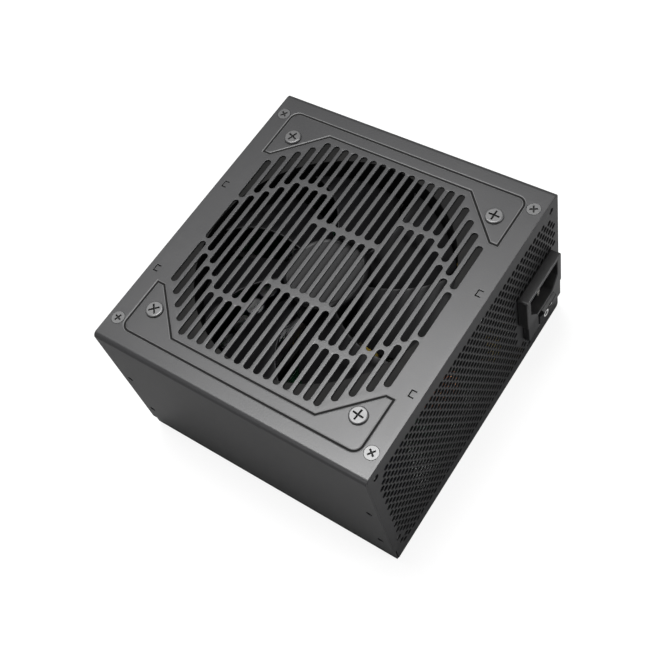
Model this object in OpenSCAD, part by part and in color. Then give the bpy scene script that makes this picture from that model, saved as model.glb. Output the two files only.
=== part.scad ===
// Desktop computer power supply with a large fan under a slotted top sheet.
// The origin is the centre of the base. The mains panel faces -Y, the output
// sockets face +Y and the fan grille faces +Z. All sizes are in millimetres.

/* [Case] */
// Width over the two side walls
case_w = 150; // [146:1:190]
// Depth from the mains panel to the output panel
case_d = 140; // [138:1:200]
// Height from the base to the top sheet
case_h = 86; // [84:1:105]
// Thickness of the sheet steel
sheet = 0.8; // [0.6:0.1:1.2]
// Outer radius of the bends along the cover's two long edges
bend_r = 2.5; // [1.5:0.1:4]
// Height above the base at which the cover's walls stop
wall_gap = 8; // [4:0.5:14]

/* [Fan grille] */
// Distance from one row of slots to the next
slot_pitch = 5; // [4.6:0.1:5.4]
// Width of each slot
slot_w = 3.2; // [2:0.1:3.8]
// Rows of slots on each side of the middle row
slot_rows = 11; // [6:1:11]
// Half length of the longest rows
grille_half = 56.9; // [54:0.1:60]
// Length of the side slots in the outer rows
side_slot = 23.3; // [18:0.1:25]
// Width of the pressed outline grooves
groove_w = 1.2; // [0.6:0.1:1.6]
// Depth of the pressed outline grooves
groove_depth = 0.3; // [0.1:0.05:0.5]

/* [Mains panel] */
// Width of each honeycomb hole across its flats
hex_w = 2.7; // [2:0.1:2.9]
// Distance between holes along a row
hex_pitch = 3.65; // [3.6:0.05:4.5]
// Radius of the holes for the case screws
case_screw_r = 1.6; // [1.4:0.05:2]
// Height of the mains inlet's lower edge
inlet_z = 33.9; // [33.9:0.1:36]
// How far the inlet's hood stands out
hood_out = 5; // [3.5:0.5:7]
// How far the switch's bezel stands out
bezel_out = 3; // [1.5:0.5:3]
// Angle through which the rocker tips
rocker_tip = 24; // [16:1:26]

/* [Fan] */
// Side of the square fan
fan_size = 120; // [120:1:120]
// Thickness of the fan
fan_t = 25; // [25:1:25]
// Distance between the fan's screws
fan_screws_pitch = 105; // [105:1:105]
// Number of blades
blades = 7; // [5:1:9]
// Radius of the circle that the blade tips sweep
tip_r = 55.2; // [50:0.1:56]
// Radius of the hub
hub_r = 18.75; // [18.5:0.05:20]

/* [Circuit boards] */
// Height of the main board's underside
board_z = 6.8; // [5:0.2:9]
// Thickness of the boards
board_t = 1.6; // [1.2:0.2:2]
// Distance between the contacts of the output sockets
pin_pitch = 4.2; // [4.2:0.1:4.2]

/* [Hidden] */
$fn = 48;

// Clearance round a part in its cut-out, radial clearance of a running
// shaft, and the overshoot of a cut past the face that it breaks
fit = 0.2;
run = 0.05;
cut = 1;

half_w = case_w / 2;
half_d = case_d / 2;
// Inner faces of the cover: side walls and top sheet
in_w = half_w - sheet;
top_in = case_h - sheet;
board_top = board_z + board_t;

// Tabs folded in from the end panels, and the screws that hold the cover
tab_w = 14;
tab_d = 9.3;
cover_screw_x = half_w - 12;
cover_screw_y = half_d - 4.8;
cover_shank_r = 1.5;
cover_head_r = 3;
countersink = 1.5;
collar_r = 2.6;
collar_h = 2;
side_hole_r = 1.4;
side_hole_y = half_d - 5;
side_hole_z = [20, 50];
side_tab_z = [12, 58];

// Flanges folded up from the floor inside the cover's walls
flange_h = 16;
flange_end = half_d - 10.5;
tray_bend_r = 1.2;
corner_notch = 9;

// Screw holes for the computer's case: top pair, low left and low middle
case_hole_x = half_w - 6;
case_hole_top = case_h - 6;
case_holes = [
    [-case_hole_x, case_hole_top], [case_hole_x, case_hole_top],
    [-case_hole_x, 16], [half_w - 30, 6]
];
case_collar_r = 2.6;
case_collar_h = 1.7;

// Mains inlet: hood, socket and pins, placed from the right-hand wall
inlet_x = half_w - 22.3;
hood_w = 31;
hood_h = 20.4;
hood_r = 1.2;
socket_w = 24.3;
socket_h = 16.6;
socket_lift = 1.4;
socket_cut = [5, 6.5];
socket_deep = 15;
inlet_wall = 1.1;
inlet_back = 24;
pin_w = 2;
pin_h = 4;
pin_gap = 14;
pin_step = 4;
pin_set_back = 3;

// Mains switch: bezel, cavity and rocker, below the inlet
bezel_x = [half_w - 34, half_w - 4];
bezel_h = 17.5;
switch_x = (bezel_x[0] + bezel_x[1]) / 2;
bezel_z = inlet_z - bezel_h;
switch_z = bezel_z + bezel_h / 2;
rocker_r = 7.7;
rocker_w = 11.6;
rocker_face = 3.78;
rocker_back = 3;
pivot_in = 0.2;
pivot_y = -half_d + pivot_in;
pivot_r = 1.2;
pivot_len = 0.9;
switch_wall = 1;
cavity_w = rocker_w + 0.6;
cavity_h = 2 * (rocker_r + fit);
cavity_deep = 10;
switch_body_w = cavity_w + 2 * switch_wall;
switch_body_h = cavity_h + 1.4;
switch_deep = 18;
mark_t = 0.12;
mark_out = 3.9;

// Small board behind the inlet, and the capacitors on it
inlet_board_y = -half_d + inlet_back;
inlet_board_x = [half_w - 39, half_w - 4];
inlet_board_z = [13, 56];

// Fan levels, from its inner face towards the grille
fan_z = top_in - fan_t;
duct_r = 56.6;
duct_wall = 3;
fan_flange = 4;
fan_corner_r = 6;
fan_hole_r = 2.2;
strut_w = 4;
strut_t = 1.6;
motor_r = 18.4;
motor_floor = 2.2;
motor_boss = 3.8;
tube_r = 4.6;
sleeve_r = 3.5;
shaft_r = 1.5;
tube_top = 15;
hub_bottom = 4.6;
hub_top = 20;
hub_wall = 1.5;
yoke_t = 0.8;
magnet_r = 14.2;
core_z = 7.2;
core_h = 7;
blade_mid = 12;
blade_t = 1.6;
blade_tilt = 25;

// Lead from the fan's circuit to its header: along a strut, out through the
// duct and down beside the frame
lead_r = 0.8;
lead_sides = 8;
lead_steps = 5;
header_x = half_w - 9;
header_y = 16;
header_size = [6, 10.5, 3];
plug_size = [5, 10, 5];
lead_level = fan_z + motor_floor + lead_r;
lead_points = [
    [8, 0, lead_level], [19, 0, lead_level], [27, 0, lead_level - 0.4],
    [50, 0, lead_level - 0.5], [60, 0, lead_level - 0.5],
    [header_x - 3, 1, fan_z], [header_x, 4, fan_z - 8],
    [header_x, 12, 38], [header_x, header_y, 25], [header_x, header_y, 20],
    [header_x, header_y, board_top + header_size[2] + plug_size[2]]
];

// Main board and its standoffs
board_x = half_w - 5;
board_y = [-half_d + 4, half_d - 8];
standoff_x = half_w - 11;
standoff_ys = [-half_d + 9, half_d - 20];
standoff_r = 3;
board_screw_r = 1.5;
board_screw_in = 3.5;
insulation_t = 0.4;

// Chokes and toroids: inner and outer radius of the core, and its height
filter_ring = [5.5, 10.5, 8];
boost_ring = [7, 12.5, 12];
wire_t = 1.5;
filter_choke_x = half_w - 25;
filter_choke_y = [-24, 4];
boost_choke = [0, -half_d + 26];

// Tall parts of the input side
bulk_r = 15;
bulk_h = 45;
bulk_at = [-half_w + 29, -half_d + 26];
sink_t = 3;
primary_sink_x = 22;
primary_sink_y = [-60, 4];
primary_sink_h = 42;
bridge_size = [4, 20, 20];
bridge_y = -56;
package_size = [4.8, 15, 20];
package_ys = [-32, -14];
package_lift = 5;
package_screw_z = 16;
fin_t = 1.4;

// Transformers
core_size = [36, 34, 30];
transformer_at = [-5, -4];
limb_w = 10;
yoke_w = 6;
window_h = 22;

// Output side
secondary_sink_y = 14;
secondary_sink_x = [-half_w + 15, 20];
secondary_sink_h = 38;
cap_r = 5;
cap_h = 25;
cap_row_y = half_d - 24;
cap_xs = [for (i = [0:7]) -54 + 11 * i];
modular_y = half_d - 14;
modular_x = half_w - 7;
modular_top = 56;

// Output sockets: columns of contacts and the place of each
socket_rows_z = [22, 44];
main_ways = 12;
main_at = [-36.2, socket_rows_z[1]];
eight_ways = 4;
eight_at = [for (z = socket_rows_z, x = [6, 30, 54]) [x, z]];
six_ways = 3;
six_at = [for (x = [-55, -35, -15]) [x, socket_rows_z[0]]];
cell_w = 3.4;
socket_rim = 1.2;
socket_floor = 2.4;
ramp_size = [3.4, 6, 1.3];
contact_w = 1.1;
contact_len = 8;

// ---------- shapes that repeat ----------

// A block given by its two corners
module block(low, high) {
    translate(low) cube(high - low);
}

// Rectangle with its two upper corners rounded, from z = bottom to z = top
module arch(half, bottom, top, r) {
    translate([-half, bottom]) square([2 * half, top - bottom - r]);
    translate([-half + r, bottom]) square([2 * (half - r), top - bottom]);
    for (side = [-1, 1])
        translate([side * (half - r), top - r]) circle(r);
}

// A drawing in the XZ plane, drawn out along Y from y0 to y1
module along_y(y0, y1) {
    translate([0, y1, 0]) rotate([90, 0, 0]) linear_extrude(y1 - y0) children();
}

// A slot with round ends between two places on the X axis
module slot(x0, x1) {
    r = slot_w / 2;
    translate([x0 + r, -r]) square([x1 - x0 - slot_w, slot_w]);
    for (x = [x0 + r, x1 - r]) translate([x, 0]) circle(r, $fn = 24);
}

// A straight stretch of groove between two points
module groove_run(from, to) {
    reach = to - from;
    translate(from) rotate(atan2(reach[1], reach[0]))
        translate([0, -groove_w / 2]) square([norm(reach), groove_w]);
}

// Ring given by its two radii and its height
module ring(r_in, r_out, h) {
    difference() {
        cylinder(r = r_out, h = h);
        translate([0, 0, -cut]) cylinder(r = r_in, h = h + 2 * cut);
    }
}

// Cross recess of a screw head, cut down from z = 0
module cross_recess(span, wide, deep) {
    for (turn = [0, 90])
        rotate(turn) translate([-span / 2, -wide / 2, -deep])
            cube([span, wide, deep + cut]);
}

// Wire wound round part of a ring core: the two windings of a choke
module ring_winding(core, spans) {
    for (span = spans)
        rotate(span[0]) rotate_extrude(angle = span[1], $fn = 96)
            difference() {
                translate([core[0] - wire_t, 0])
                    square([core[1] - core[0] + 2 * wire_t, core[2] + 2 * wire_t]);
                translate([core[0], wire_t])
                    square([core[1] - core[0], core[2]]);
            }
}

// Extruded heat sink: a plate along Y with fins on one side
module finned_plate(length, height, fin_levels, fin_deep) {
    cube([sink_t, length, height]);
    for (z = fin_levels)
        translate([sink_t, 0, z]) cube([fin_deep, length, fin_t]);
}

// ---------- case ----------

// Half length of a row's centre slot and the reach of its side slots
function row_reach(k) = grille_half - slot_pitch * max(0, abs(k) - 7);
function centre_half(k) = abs(k) < 4 ? 16.25 : row_reach(k) - side_slot - 2;
function side_start(k) = abs(k) < 4 ? 18.7 : row_reach(k) - side_slot;

module grille_slots() {
    for (k = [-slot_rows:slot_rows])
        translate([0, k * slot_pitch]) {
            slot(-centre_half(k), centre_half(k));
            for (side = [0, 1])
                mirror([side, 0]) slot(side_start(k), row_reach(k));
        }
}

// One of the two pressed outlines beside the grille
module groove_outline() {
    edge_x = 66.2;
    edge_y = 60.8;
    corner = 4;
    inner = [40.2, 57.2];
    waist = [60.2, 37];
    for (side = [0, 1]) mirror([0, side]) {
        groove_run([edge_x, 0], [edge_x, edge_y - corner]);
        groove_run([edge_x - corner, edge_y], [inner[0], edge_y]);
        groove_run([inner[0], edge_y + groove_w / 2], inner);
        groove_run(inner, waist);
        groove_run(waist, [waist[0], 0]);
        translate([edge_x - corner, edge_y - corner]) intersection() {
            difference() {
                circle(corner + groove_w / 2);
                circle(corner - groove_w / 2);
            }
            square(corner + groove_w);
        }
    }
}

// Small lanced mark: a slit with a leg at each end
module lanced_mark() {
    wide = 3.4;
    deep = 2.4;
    slit = 0.4;
    translate([-wide / 2, deep / 2 - slit]) square([wide, slit]);
    for (side = [0, 1])
        mirror([side, 0]) translate([-wide / 2, -deep / 2]) square([slit, deep]);
}

module cover_screw_places() {
    for (x = [-cover_screw_x, cover_screw_x], y = [-cover_screw_y, cover_screw_y])
        translate([x, y, case_h]) children();
}

module fan_screw_places(z) {
    for (x = [-1, 1], y = [-1, 1])
        translate([x * fan_screws_pitch / 2, y * fan_screws_pitch / 2, z]) children();
}

// The countersunk seat that a cover screw fills
module countersunk_seat() {
    translate([0, 0, -countersink])
        cylinder(r1 = cover_shank_r, r2 = cover_head_r, h = countersink);
    translate([0, 0, -8]) cylinder(r = cover_shank_r, h = 8);
}

module top_cover() {
    color([0.2, 0.2, 0.21]) difference() {
        along_y(-half_d, half_d) difference() {
            arch(half_w, wall_gap, case_h, bend_r);
            arch(in_w, wall_gap - cut, top_in, bend_r - sheet);
        }
        translate([0, 0, top_in - cut]) linear_extrude(sheet + 2 * cut) grille_slots();
        translate([0, 0, case_h - groove_depth]) linear_extrude(groove_depth + cut)
            for (side = [0, 1]) mirror([side, 0]) groove_outline();
        translate([0, 0, top_in - cut]) linear_extrude(sheet + 2 * cut)
            for (x = [-34.7, 16.6], y = [-half_d + 4.2, half_d - 4.2])
                translate([x, y]) lanced_mark();
        cover_screw_places() countersunk_seat();
        fan_screw_places(top_in - cut) cylinder(r = fan_hole_r + 0.3, h = sheet + 2 * cut);
        for (y = [-side_hole_y, side_hole_y], z = side_hole_z)
            translate([-half_w - cut, y, z]) rotate([0, 90, 0])
                cylinder(r = side_hole_r, h = case_w + 2 * cut);
    }
}

module floor_tray() {
    color([0.2, 0.2, 0.21]) union() {
        along_y(-flange_end, flange_end) mirror([0, 1]) difference() {
            arch(in_w, -flange_h, 0, tray_bend_r);
            arch(in_w - sheet, -flange_h - cut, -sheet, tray_bend_r - sheet);
        }
        block([-in_w + tray_bend_r, -half_d + sheet, 0],
              [in_w - tray_bend_r, half_d - sheet, sheet]);
    }
}

// End panel at the -Y end: sheet, cover tabs with their screw collars, and
// side tabs that lie against the cover's walls
module end_panel() {
    difference() {
        union() {
            along_y(-half_d, -half_d + sheet) arch(in_w, 0, top_in, bend_r - sheet);
            for (side = [0, 1]) mirror([side, 0, 0]) {
                block([cover_screw_x - tab_w / 2, -half_d, top_in - sheet],
                      [cover_screw_x + tab_w / 2, -half_d + tab_d, top_in]);
                translate([cover_screw_x, -cover_screw_y, top_in - sheet - collar_h])
                    cylinder(r = collar_r, h = collar_h);
                block([in_w - sheet, -half_d, side_tab_z[0]],
                      [in_w, -half_d + tab_d, side_tab_z[1]]);
            }
        }
        cover_screw_places() countersunk_seat();
        for (side = [0, 1]) mirror([side, 0, 0])
            block([in_w - tray_bend_r, -half_d - cut, -cut],
                  [in_w + cut, -half_d + sheet + cut, corner_notch]);
        for (z = side_hole_z)
            translate([-half_w - cut, -side_hole_y, z]) rotate([0, 90, 0])
                cylinder(r = side_hole_r, h = case_w + 2 * cut);
    }
}

// Rows of the honeycomb, counted down from the top row
hex_rise = hex_pitch * sin(60);
hex_rows = 23;
hex_top = case_h - 9;
hex_left = -half_w + 7;
hex_right = half_w - 4;

function hex_x(row, i) = hex_left + hex_pitch * (i + (row % 2 == 0 ? 0.5 : 0));
function hex_z(row) = hex_top - row * hex_rise;
function clear_of(x, z, hole, reach) = norm([x, z] - hole) > reach;
function beside_inlet(x, z) =
    x < inlet_x - hood_w / 2 - 1.5 || z > inlet_z + hood_h - 0.2 || z < bezel_z - 1.2;
function is_open(x, z) =
    clear_of(x, z, case_holes[0], 6.4) && clear_of(x, z, case_holes[1], 6.4)
    && clear_of(x, z, case_holes[2], 4.6) && clear_of(x, z, case_holes[3], 4.6)
    && beside_inlet(x, z) && z > 6;

module honeycomb() {
    columns = floor((hex_right - hex_left) / hex_pitch);
    for (row = [0:hex_rows - 1], i = [0:columns])
        if (hex_x(row, i) < hex_right && is_open(hex_x(row, i), hex_z(row)))
            translate([hex_x(row, i), hex_z(row)])
                rotate(30) circle(r = hex_w / sqrt(3), $fn = 6);
}

module mains_panel() {
    color([0.2, 0.2, 0.21]) difference() {
        union() {
            end_panel();
            for (hole = case_holes)
                translate([hole[0], -half_d + sheet + case_collar_h, hole[1]])
                    rotate([90, 0, 0]) cylinder(r = case_collar_r, h = case_collar_h);
        }
        along_y(-half_d - cut, -half_d + sheet + cut) honeycomb();
        for (hole = case_holes)
            translate([hole[0], -half_d + 4, hole[1]]) rotate([90, 0, 0])
                cylinder(r = case_screw_r, h = 6);
        block([inlet_x - hood_w / 2 + 1.4, -half_d - cut, inlet_z],
              [inlet_x + hood_w / 2 - 1.4, -half_d + sheet + cut, inlet_z + hood_h - 1.2]);
        block([switch_x - switch_body_w / 2 - 0.1, -half_d - cut,
               switch_z - switch_body_h / 2 - 0.05],
              [switch_x + switch_body_w / 2 + 0.1, -half_d + sheet + cut, inlet_z + cut]);
    }
}

module output_panel() {
    color([0.2, 0.2, 0.21]) difference() {
        mirror([0, 1, 0]) end_panel();
        socket_window(main_ways, main_at);
        for (at = eight_at) socket_window(eight_ways, at);
        for (at = six_at) socket_window(six_ways, at);
    }
}

module cover_screws() {
    color([0.55, 0.55, 0.56]) cover_screw_places() difference() {
        union() {
            translate([0, 0, -countersink])
                cylinder(r1 = cover_shank_r, r2 = cover_head_r, h = countersink);
            translate([0, 0, -5]) cylinder(r = cover_shank_r, h = 5);
        }
        cross_recess(3.6, 0.7, 0.9);
    }
}

module fan_screws() {
    head_r = 4;
    head_h = 1.2;
    length = 9;
    color([0.55, 0.55, 0.56]) fan_screw_places(case_h) difference() {
        union() {
            cylinder(r1 = head_r, r2 = head_r - 1, h = head_h);
            translate([0, 0, -length]) cylinder(r = fan_hole_r, h = length);
        }
        translate([0, 0, head_h]) cross_recess(5.1, 0.8, 1.1);
    }
}

// ---------- main board ----------

module standoff_places(z) {
    for (x = [-standoff_x, standoff_x], y = standoff_ys)
        translate([x, y, z]) children();
}

module insulation_sheet() {
    color([0.85, 0.85, 0.8]) difference() {
        block([-in_w + 4, -half_d + 6, sheet],
              [in_w - 4, half_d - 6, sheet + insulation_t]);
        standoff_places(sheet - cut) cylinder(r = standoff_r + 0.3, h = 3 * cut);
    }
}

module standoffs() {
    color([0.75, 0.68, 0.45]) standoff_places(sheet) difference() {
        cylinder(r = standoff_r, h = board_z - sheet);
        translate([0, 0, board_z - sheet - board_screw_in - 0.5])
            cylinder(r = board_screw_r, h = board_screw_in + 0.5 + cut);
    }
}

module main_board() {
    color([0.1, 0.28, 0.16]) difference() {
        block([-board_x, board_y[0], board_z], [board_x, board_y[1], board_top]);
        standoff_places(board_z - cut)
            cylinder(r = board_screw_r + fit, h = board_t + 2 * cut);
    }
}

module board_screws() {
    color([0.75, 0.75, 0.76]) standoff_places(board_top) difference() {
        union() {
            cylinder(r = 2.9, h = 2);
            translate([0, 0, -board_t - board_screw_in])
                cylinder(r = board_screw_r, h = board_t + board_screw_in);
        }
        translate([0, 0, 2]) cross_recess(3.4, 0.7, 1.2);
    }
}

// ---------- fan ----------

module fan_flange_outline() {
    side = fan_size / 2 - fan_corner_r;
    difference() {
        union() {
            square([fan_size, 2 * side], center = true);
            square([2 * side, fan_size], center = true);
            for (x = [-side, side], y = [-side, side])
                translate([x, y]) circle(fan_corner_r);
        }
        circle(duct_r, $fn = 96);
    }
}

module fan_frame() {
    color([0.12, 0.12, 0.13]) translate([0, 0, fan_z]) difference() {
        union() {
            for (z = [0, fan_t - fan_flange])
                translate([0, 0, z]) linear_extrude(fan_flange) fan_flange_outline();
            ring(duct_r, duct_r + duct_wall, fan_t);
            cylinder(r = motor_r, h = motor_floor);
            ring(tube_r, 6.5, motor_boss);
            ring(sleeve_r, tube_r, tube_top);
            for (turn = [0:90:270])
                rotate(turn) translate([motor_r - 2, -strut_w / 2, 0])
                    cube([duct_r - motor_r + 3, strut_w, strut_t]);
        }
        fan_screw_places(-cut) cylinder(r = fan_hole_r, h = fan_t + 2 * cut);
        block([duct_r - 2, -1.2, strut_t], [fan_size / 2 + cut, 1.2, strut_t + 2.2]);
    }
}

// Plan of one blade, wider and swept at its tip
module blade_plan() {
    root = hub_r - 0.6;
    reach = tip_r + 6;
    polygon([
        root * [cos(-13), sin(-13)], reach * [cos(-6), sin(-6)],
        reach * [cos(30), sin(30)], root * [cos(15), sin(15)]
    ]);
}

module fan_rotor() {
    color([0.16, 0.16, 0.17]) translate([0, 0, fan_z]) {
        difference() {
            translate([0, 0, hub_bottom]) cylinder(r = hub_r, h = hub_top - hub_bottom);
            translate([0, 0, hub_bottom - cut])
                cylinder(r = hub_r - hub_wall, h = hub_top - hub_wall - hub_bottom + cut);
            translate([0, 0, hub_top - hub_wall - cut])
                cylinder(r = shaft_r, h = cut + 1);
        }
        for (i = [0:blades - 1]) rotate(i * 360 / blades) intersection() {
            translate([0, 0, hub_bottom]) ring(hub_r - 0.3, tip_r, hub_top - hub_bottom);
            linear_extrude(fan_t) intersection() {
                blade_plan();
                circle(tip_r + 1, $fn = 96);
            }
            rotate(10) translate([0, 0, blade_mid]) rotate([blade_tilt, 0, 0])
                translate([0, -fan_t, -blade_t / 2]) cube([fan_size, 2 * fan_t, blade_t]);
        }
    }
}

yoke_r = hub_r - hub_wall;
yoke_bottom = 5.8;
yoke_top = hub_top - hub_wall;

module rotor_yoke() {
    color([0.6, 0.6, 0.62]) translate([0, 0, fan_z]) {
        translate([0, 0, yoke_bottom]) ring(yoke_r - yoke_t, yoke_r, yoke_top - yoke_bottom);
        translate([0, 0, yoke_top - yoke_t]) ring(shaft_r, yoke_r - yoke_t, yoke_t);
    }
}

module rotor_magnet() {
    color([0.25, 0.22, 0.2]) translate([0, 0, fan_z + yoke_bottom])
        ring(magnet_r, yoke_r - yoke_t, 10);
}

clip_z = 2.75;
clip_t = 0.4;

module fan_shaft() {
    color([0.8, 0.8, 0.82]) translate([0, 0, fan_z]) difference() {
        translate([0, 0, motor_floor + 0.2])
            cylinder(r = shaft_r, h = yoke_top + 1 - motor_floor - 0.2);
        translate([0, 0, clip_z]) ring(shaft_r - 0.4, shaft_r + 1, clip_t);
    }
}

module shaft_clip() {
    color([0.9, 0.9, 0.85]) translate([0, 0, fan_z + clip_z])
        ring(shaft_r - 0.4, 2.8, clip_t);
}

module bearing_sleeve() {
    color([0.72, 0.55, 0.3]) translate([0, 0, fan_z + 3.4])
        ring(shaft_r + run, sleeve_r, tube_top - 3.4);
}

module stator_core() {
    color([0.5, 0.5, 0.52]) translate([0, 0, fan_z + core_z]) {
        ring(tube_r, 7, core_h);
        for (turn = [0:90:270]) rotate(turn) {
            translate([6.5, -2, 0]) cube([5, 4, core_h]);
            intersection() {
                ring(11, magnet_r - 0.4, core_h);
                linear_extrude(core_h)
                    polygon([[0, 0], [20, -14], [20, 14]]);
            }
        }
    }
}

module stator_coils() {
    color([0.72, 0.36, 0.16]) translate([0, 0, fan_z + core_z])
        for (turn = [0:90:270]) rotate(turn) difference() {
            translate([7.4, -3.6, -1.4]) cube([2.9, 7.2, core_h + 2.8]);
            translate([6, -2, 0]) cube([6, 4, core_h]);
        }
}

module fan_circuit() {
    color([0.1, 0.28, 0.16]) translate([0, 0, fan_z + motor_boss])
        ring(tube_r, 13.5, 1);
}

// Smooth points through a list, and a tube swept along them
function blend_point(a, b, c, d, t) = 0.5 * (2 * b + (c - a) * t
    + (2 * a - 5 * b + 4 * c - d) * t * t + (3 * b - a - 3 * c + d) * t * t * t);
function at_end(list, i) = list[min(max(i, 0), len(list) - 1)];
function smooth(list, steps) = concat(
    [for (i = [0:len(list) - 2], s = [0:steps - 1])
        blend_point(at_end(list, i - 1), list[i], list[i + 1], at_end(list, i + 2),
                    s / steps)],
    [list[len(list) - 1]]);
function unit(v) = v / norm(v);
function heading(list, i) = unit(at_end(list, i + 1) - at_end(list, i - 1));
function ring_points(at, ahead, r, sides) =
    let (across = unit(cross(ahead, [0, 1, 0])), over = cross(across, ahead))
    [for (s = [0:sides - 1])
        at + r * (cos(360 * s / sides) * across + sin(360 * s / sides) * over)];

module swept_tube(list, r, sides) {
    rings = len(list);
    points = [for (i = [0:rings - 1]) each ring_points(list[i], heading(list, i), r, sides)];
    walls = [for (i = [0:rings - 2], s = [0:sides - 1])
        [i * sides + s, i * sides + (s + 1) % sides,
         (i + 1) * sides + (s + 1) % sides, (i + 1) * sides + s]];
    start = [for (s = [sides - 1:-1:0]) s];
    end = [for (s = [0:sides - 1]) (rings - 1) * sides + s];
    polyhedron(points, concat([start], walls, [end]));
}

module fan_lead() {
    color([0.1, 0.1, 0.1])
        swept_tube(smooth(lead_points, lead_steps), lead_r, lead_sides);
}

module fan_plug() {
    color([0.9, 0.9, 0.86])
        translate([header_x - plug_size[0] / 2, header_y - plug_size[1] / 2,
                   board_top + header_size[2]]) cube(plug_size);
}

module fan_header() {
    color([0.92, 0.92, 0.88])
        translate([header_x - header_size[0] / 2, header_y - header_size[1] / 2, board_top])
            cube(header_size);
}

// ---------- mains inlet and switch ----------

socket_z = inlet_z + socket_lift;
line_pin_z = socket_z + socket_h / 2 + 1.7;
earth_pin_z = line_pin_z - pin_step;
socket_bottom_y = -half_d + socket_deep;

// Outline of the socket: a rectangle with its two lower corners cut off
module socket_outline() {
    half = socket_w / 2;
    translate([inlet_x, socket_z]) polygon([
        [-half, socket_h], [half, socket_h], [half, socket_cut[1]],
        [half - socket_cut[0], 0], [-half + socket_cut[0], 0], [-half, socket_cut[1]]
    ]);
}

module pin_places() {
    for (x = [-pin_gap / 2, pin_gap / 2]) translate([inlet_x + x, line_pin_z]) children();
    translate([inlet_x, earth_pin_z]) children();
}

module pin_outline() {
    pin_places() square([pin_w, pin_h], center = true);
}

module inlet_housing() {
    color([0.1, 0.1, 0.11]) difference() {
        union() {
            along_y(-half_d - hood_out, -half_d)
                translate([inlet_x, 0]) arch(hood_w / 2, inlet_z, inlet_z + hood_h, hood_r);
            block([inlet_x - socket_w / 2 - inlet_wall - 0.6, -half_d - cut, inlet_z + 0.1],
                  [inlet_x + socket_w / 2 + inlet_wall + 0.6, -half_d + inlet_back - 5,
                   inlet_z + hood_h - 1.3]);
        }
        along_y(-half_d - hood_out - cut, socket_bottom_y) socket_outline();
        along_y(socket_bottom_y - cut, -half_d + inlet_back) pin_outline();
    }
}

module inlet_pins() {
    color([0.8, 0.8, 0.8])
        along_y(-half_d - hood_out + pin_set_back, inlet_board_y) pin_outline();
}

module switch_housing() {
    color([0.12, 0.12, 0.13]) difference() {
        union() {
            block([bezel_x[0], -half_d - bezel_out, bezel_z], [bezel_x[1], -half_d, inlet_z]);
            block([switch_x - switch_body_w / 2, -half_d - cut, switch_z - switch_body_h / 2],
                  [switch_x + switch_body_w / 2, -half_d + switch_deep,
                   switch_z + switch_body_h / 2]);
        }
        block([switch_x - cavity_w / 2, -half_d - bezel_out - cut, switch_z - cavity_h / 2],
              [switch_x + cavity_w / 2, -half_d + cavity_deep, switch_z + cavity_h / 2]);
        translate([switch_x, pivot_y, switch_z]) rotate([0, 90, 0])
            cylinder(r = pivot_r + run, h = cavity_w + 2 * pivot_len + 0.1, center = true);
    }
}

// Section of the rocker about its pivot, level: two faces that slope outwards,
// and ends that follow a circle about the pivot
module rocker_section() {
    slope = tan(rocker_tip / 2);
    far = rocker_r + 2;
    intersection() {
        circle(rocker_r, $fn = 96);
        polygon([
            [rocker_face, 0], [rocker_face + far * slope, far], [-rocker_back, far],
            [-rocker_back, -far], [rocker_face + far * slope, -far]
        ]);
    }
}

// Places its child on the pivot: local X points out of the panel, local Y up,
// tipped so that the lower half is pressed
module on_rocker() {
    translate([switch_x, pivot_y, switch_z]) rotate([rocker_tip / 2, 0, 0])
        rotate([0, 0, -90]) rotate([90, 0, 0]) children();
}

module rocker() {
    color([0.14, 0.14, 0.15]) on_rocker() {
        translate([0, 0, -rocker_w / 2]) linear_extrude(rocker_w) rocker_section();
        cylinder(r = pivot_r, h = cavity_w + 2 * pivot_len - 0.2, center = true);
    }
}

// On mark on the upper half and off mark on the lower half
module rocker_marks() {
    bar = [4.4, 0.9];
    off_r = 1.9;
    line = 0.6;
    color([0.92, 0.92, 0.92]) on_rocker() for (side = [-1, 1])
        translate([rocker_face, 0, 0]) rotate([0, 0, -side * rocker_tip / 2])
            translate([0, side * mark_out, 0]) rotate([0, 90, 0])
                linear_extrude(mark_t)
                    if (side > 0) square([bar[1], bar[0]], center = true);
                    else difference() {
                        circle(off_r);
                        circle(off_r - line);
                    }
}

module switch_terminals() {
    color([0.8, 0.75, 0.55])
        for (x = [-3.5, 3.5], z = [-5, 5])
            block([switch_x + x - 2.4, -half_d + switch_deep, switch_z + z - 0.4],
                  [switch_x + x + 2.4, inlet_board_y, switch_z + z + 0.4]);
}

// ---------- input filter ----------

module inlet_board() {
    color([0.1, 0.28, 0.16])
        block([inlet_board_x[0], inlet_board_y, inlet_board_z[0]],
              [inlet_board_x[1], inlet_board_y + board_t, inlet_board_z[1]]);
}

module mains_filter_cap() {
    size = [18, 9, 15];
    color([0.85, 0.7, 0.15]) {
        translate([half_w - 31, inlet_board_y + board_t, 36]) cube(size);
        translate([26.5, -half_d + 9, board_top]) cube([size[1], size[0], size[2]]);
    }
}

module safety_caps() {
    color([0.2, 0.4, 0.75])
        for (x = [half_w - 28, half_w - 16])
            translate([x, inlet_board_y + board_t + 3.5, 27]) rotate([90, 0, 0])
                cylinder(r = 4.5, h = 3.5);
}

module fuse() {
    r = 2.6;
    length = 20;
    color([0.9, 0.88, 0.8])
        translate([half_w - 35, -half_d + 12, board_top + r]) rotate([0, 90, 0]) {
            cylinder(r = r - 0.2, h = length);
            for (x = [0, length - 5]) translate([0, 0, x]) cylinder(r = r, h = 5);
        }
}

module at_filter_chokes() {
    for (y = filter_choke_y) translate([filter_choke_x, y, board_top]) children();
}

module choke_cores() {
    color([0.15, 0.3, 0.2]) at_filter_chokes() translate([0, 0, wire_t])
        ring(filter_ring[0], filter_ring[1], filter_ring[2]);
}

module choke_windings() {
    color([0.72, 0.36, 0.16]) at_filter_chokes()
        ring_winding(filter_ring, [[20, 140], [200, 140]]);
}

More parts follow.
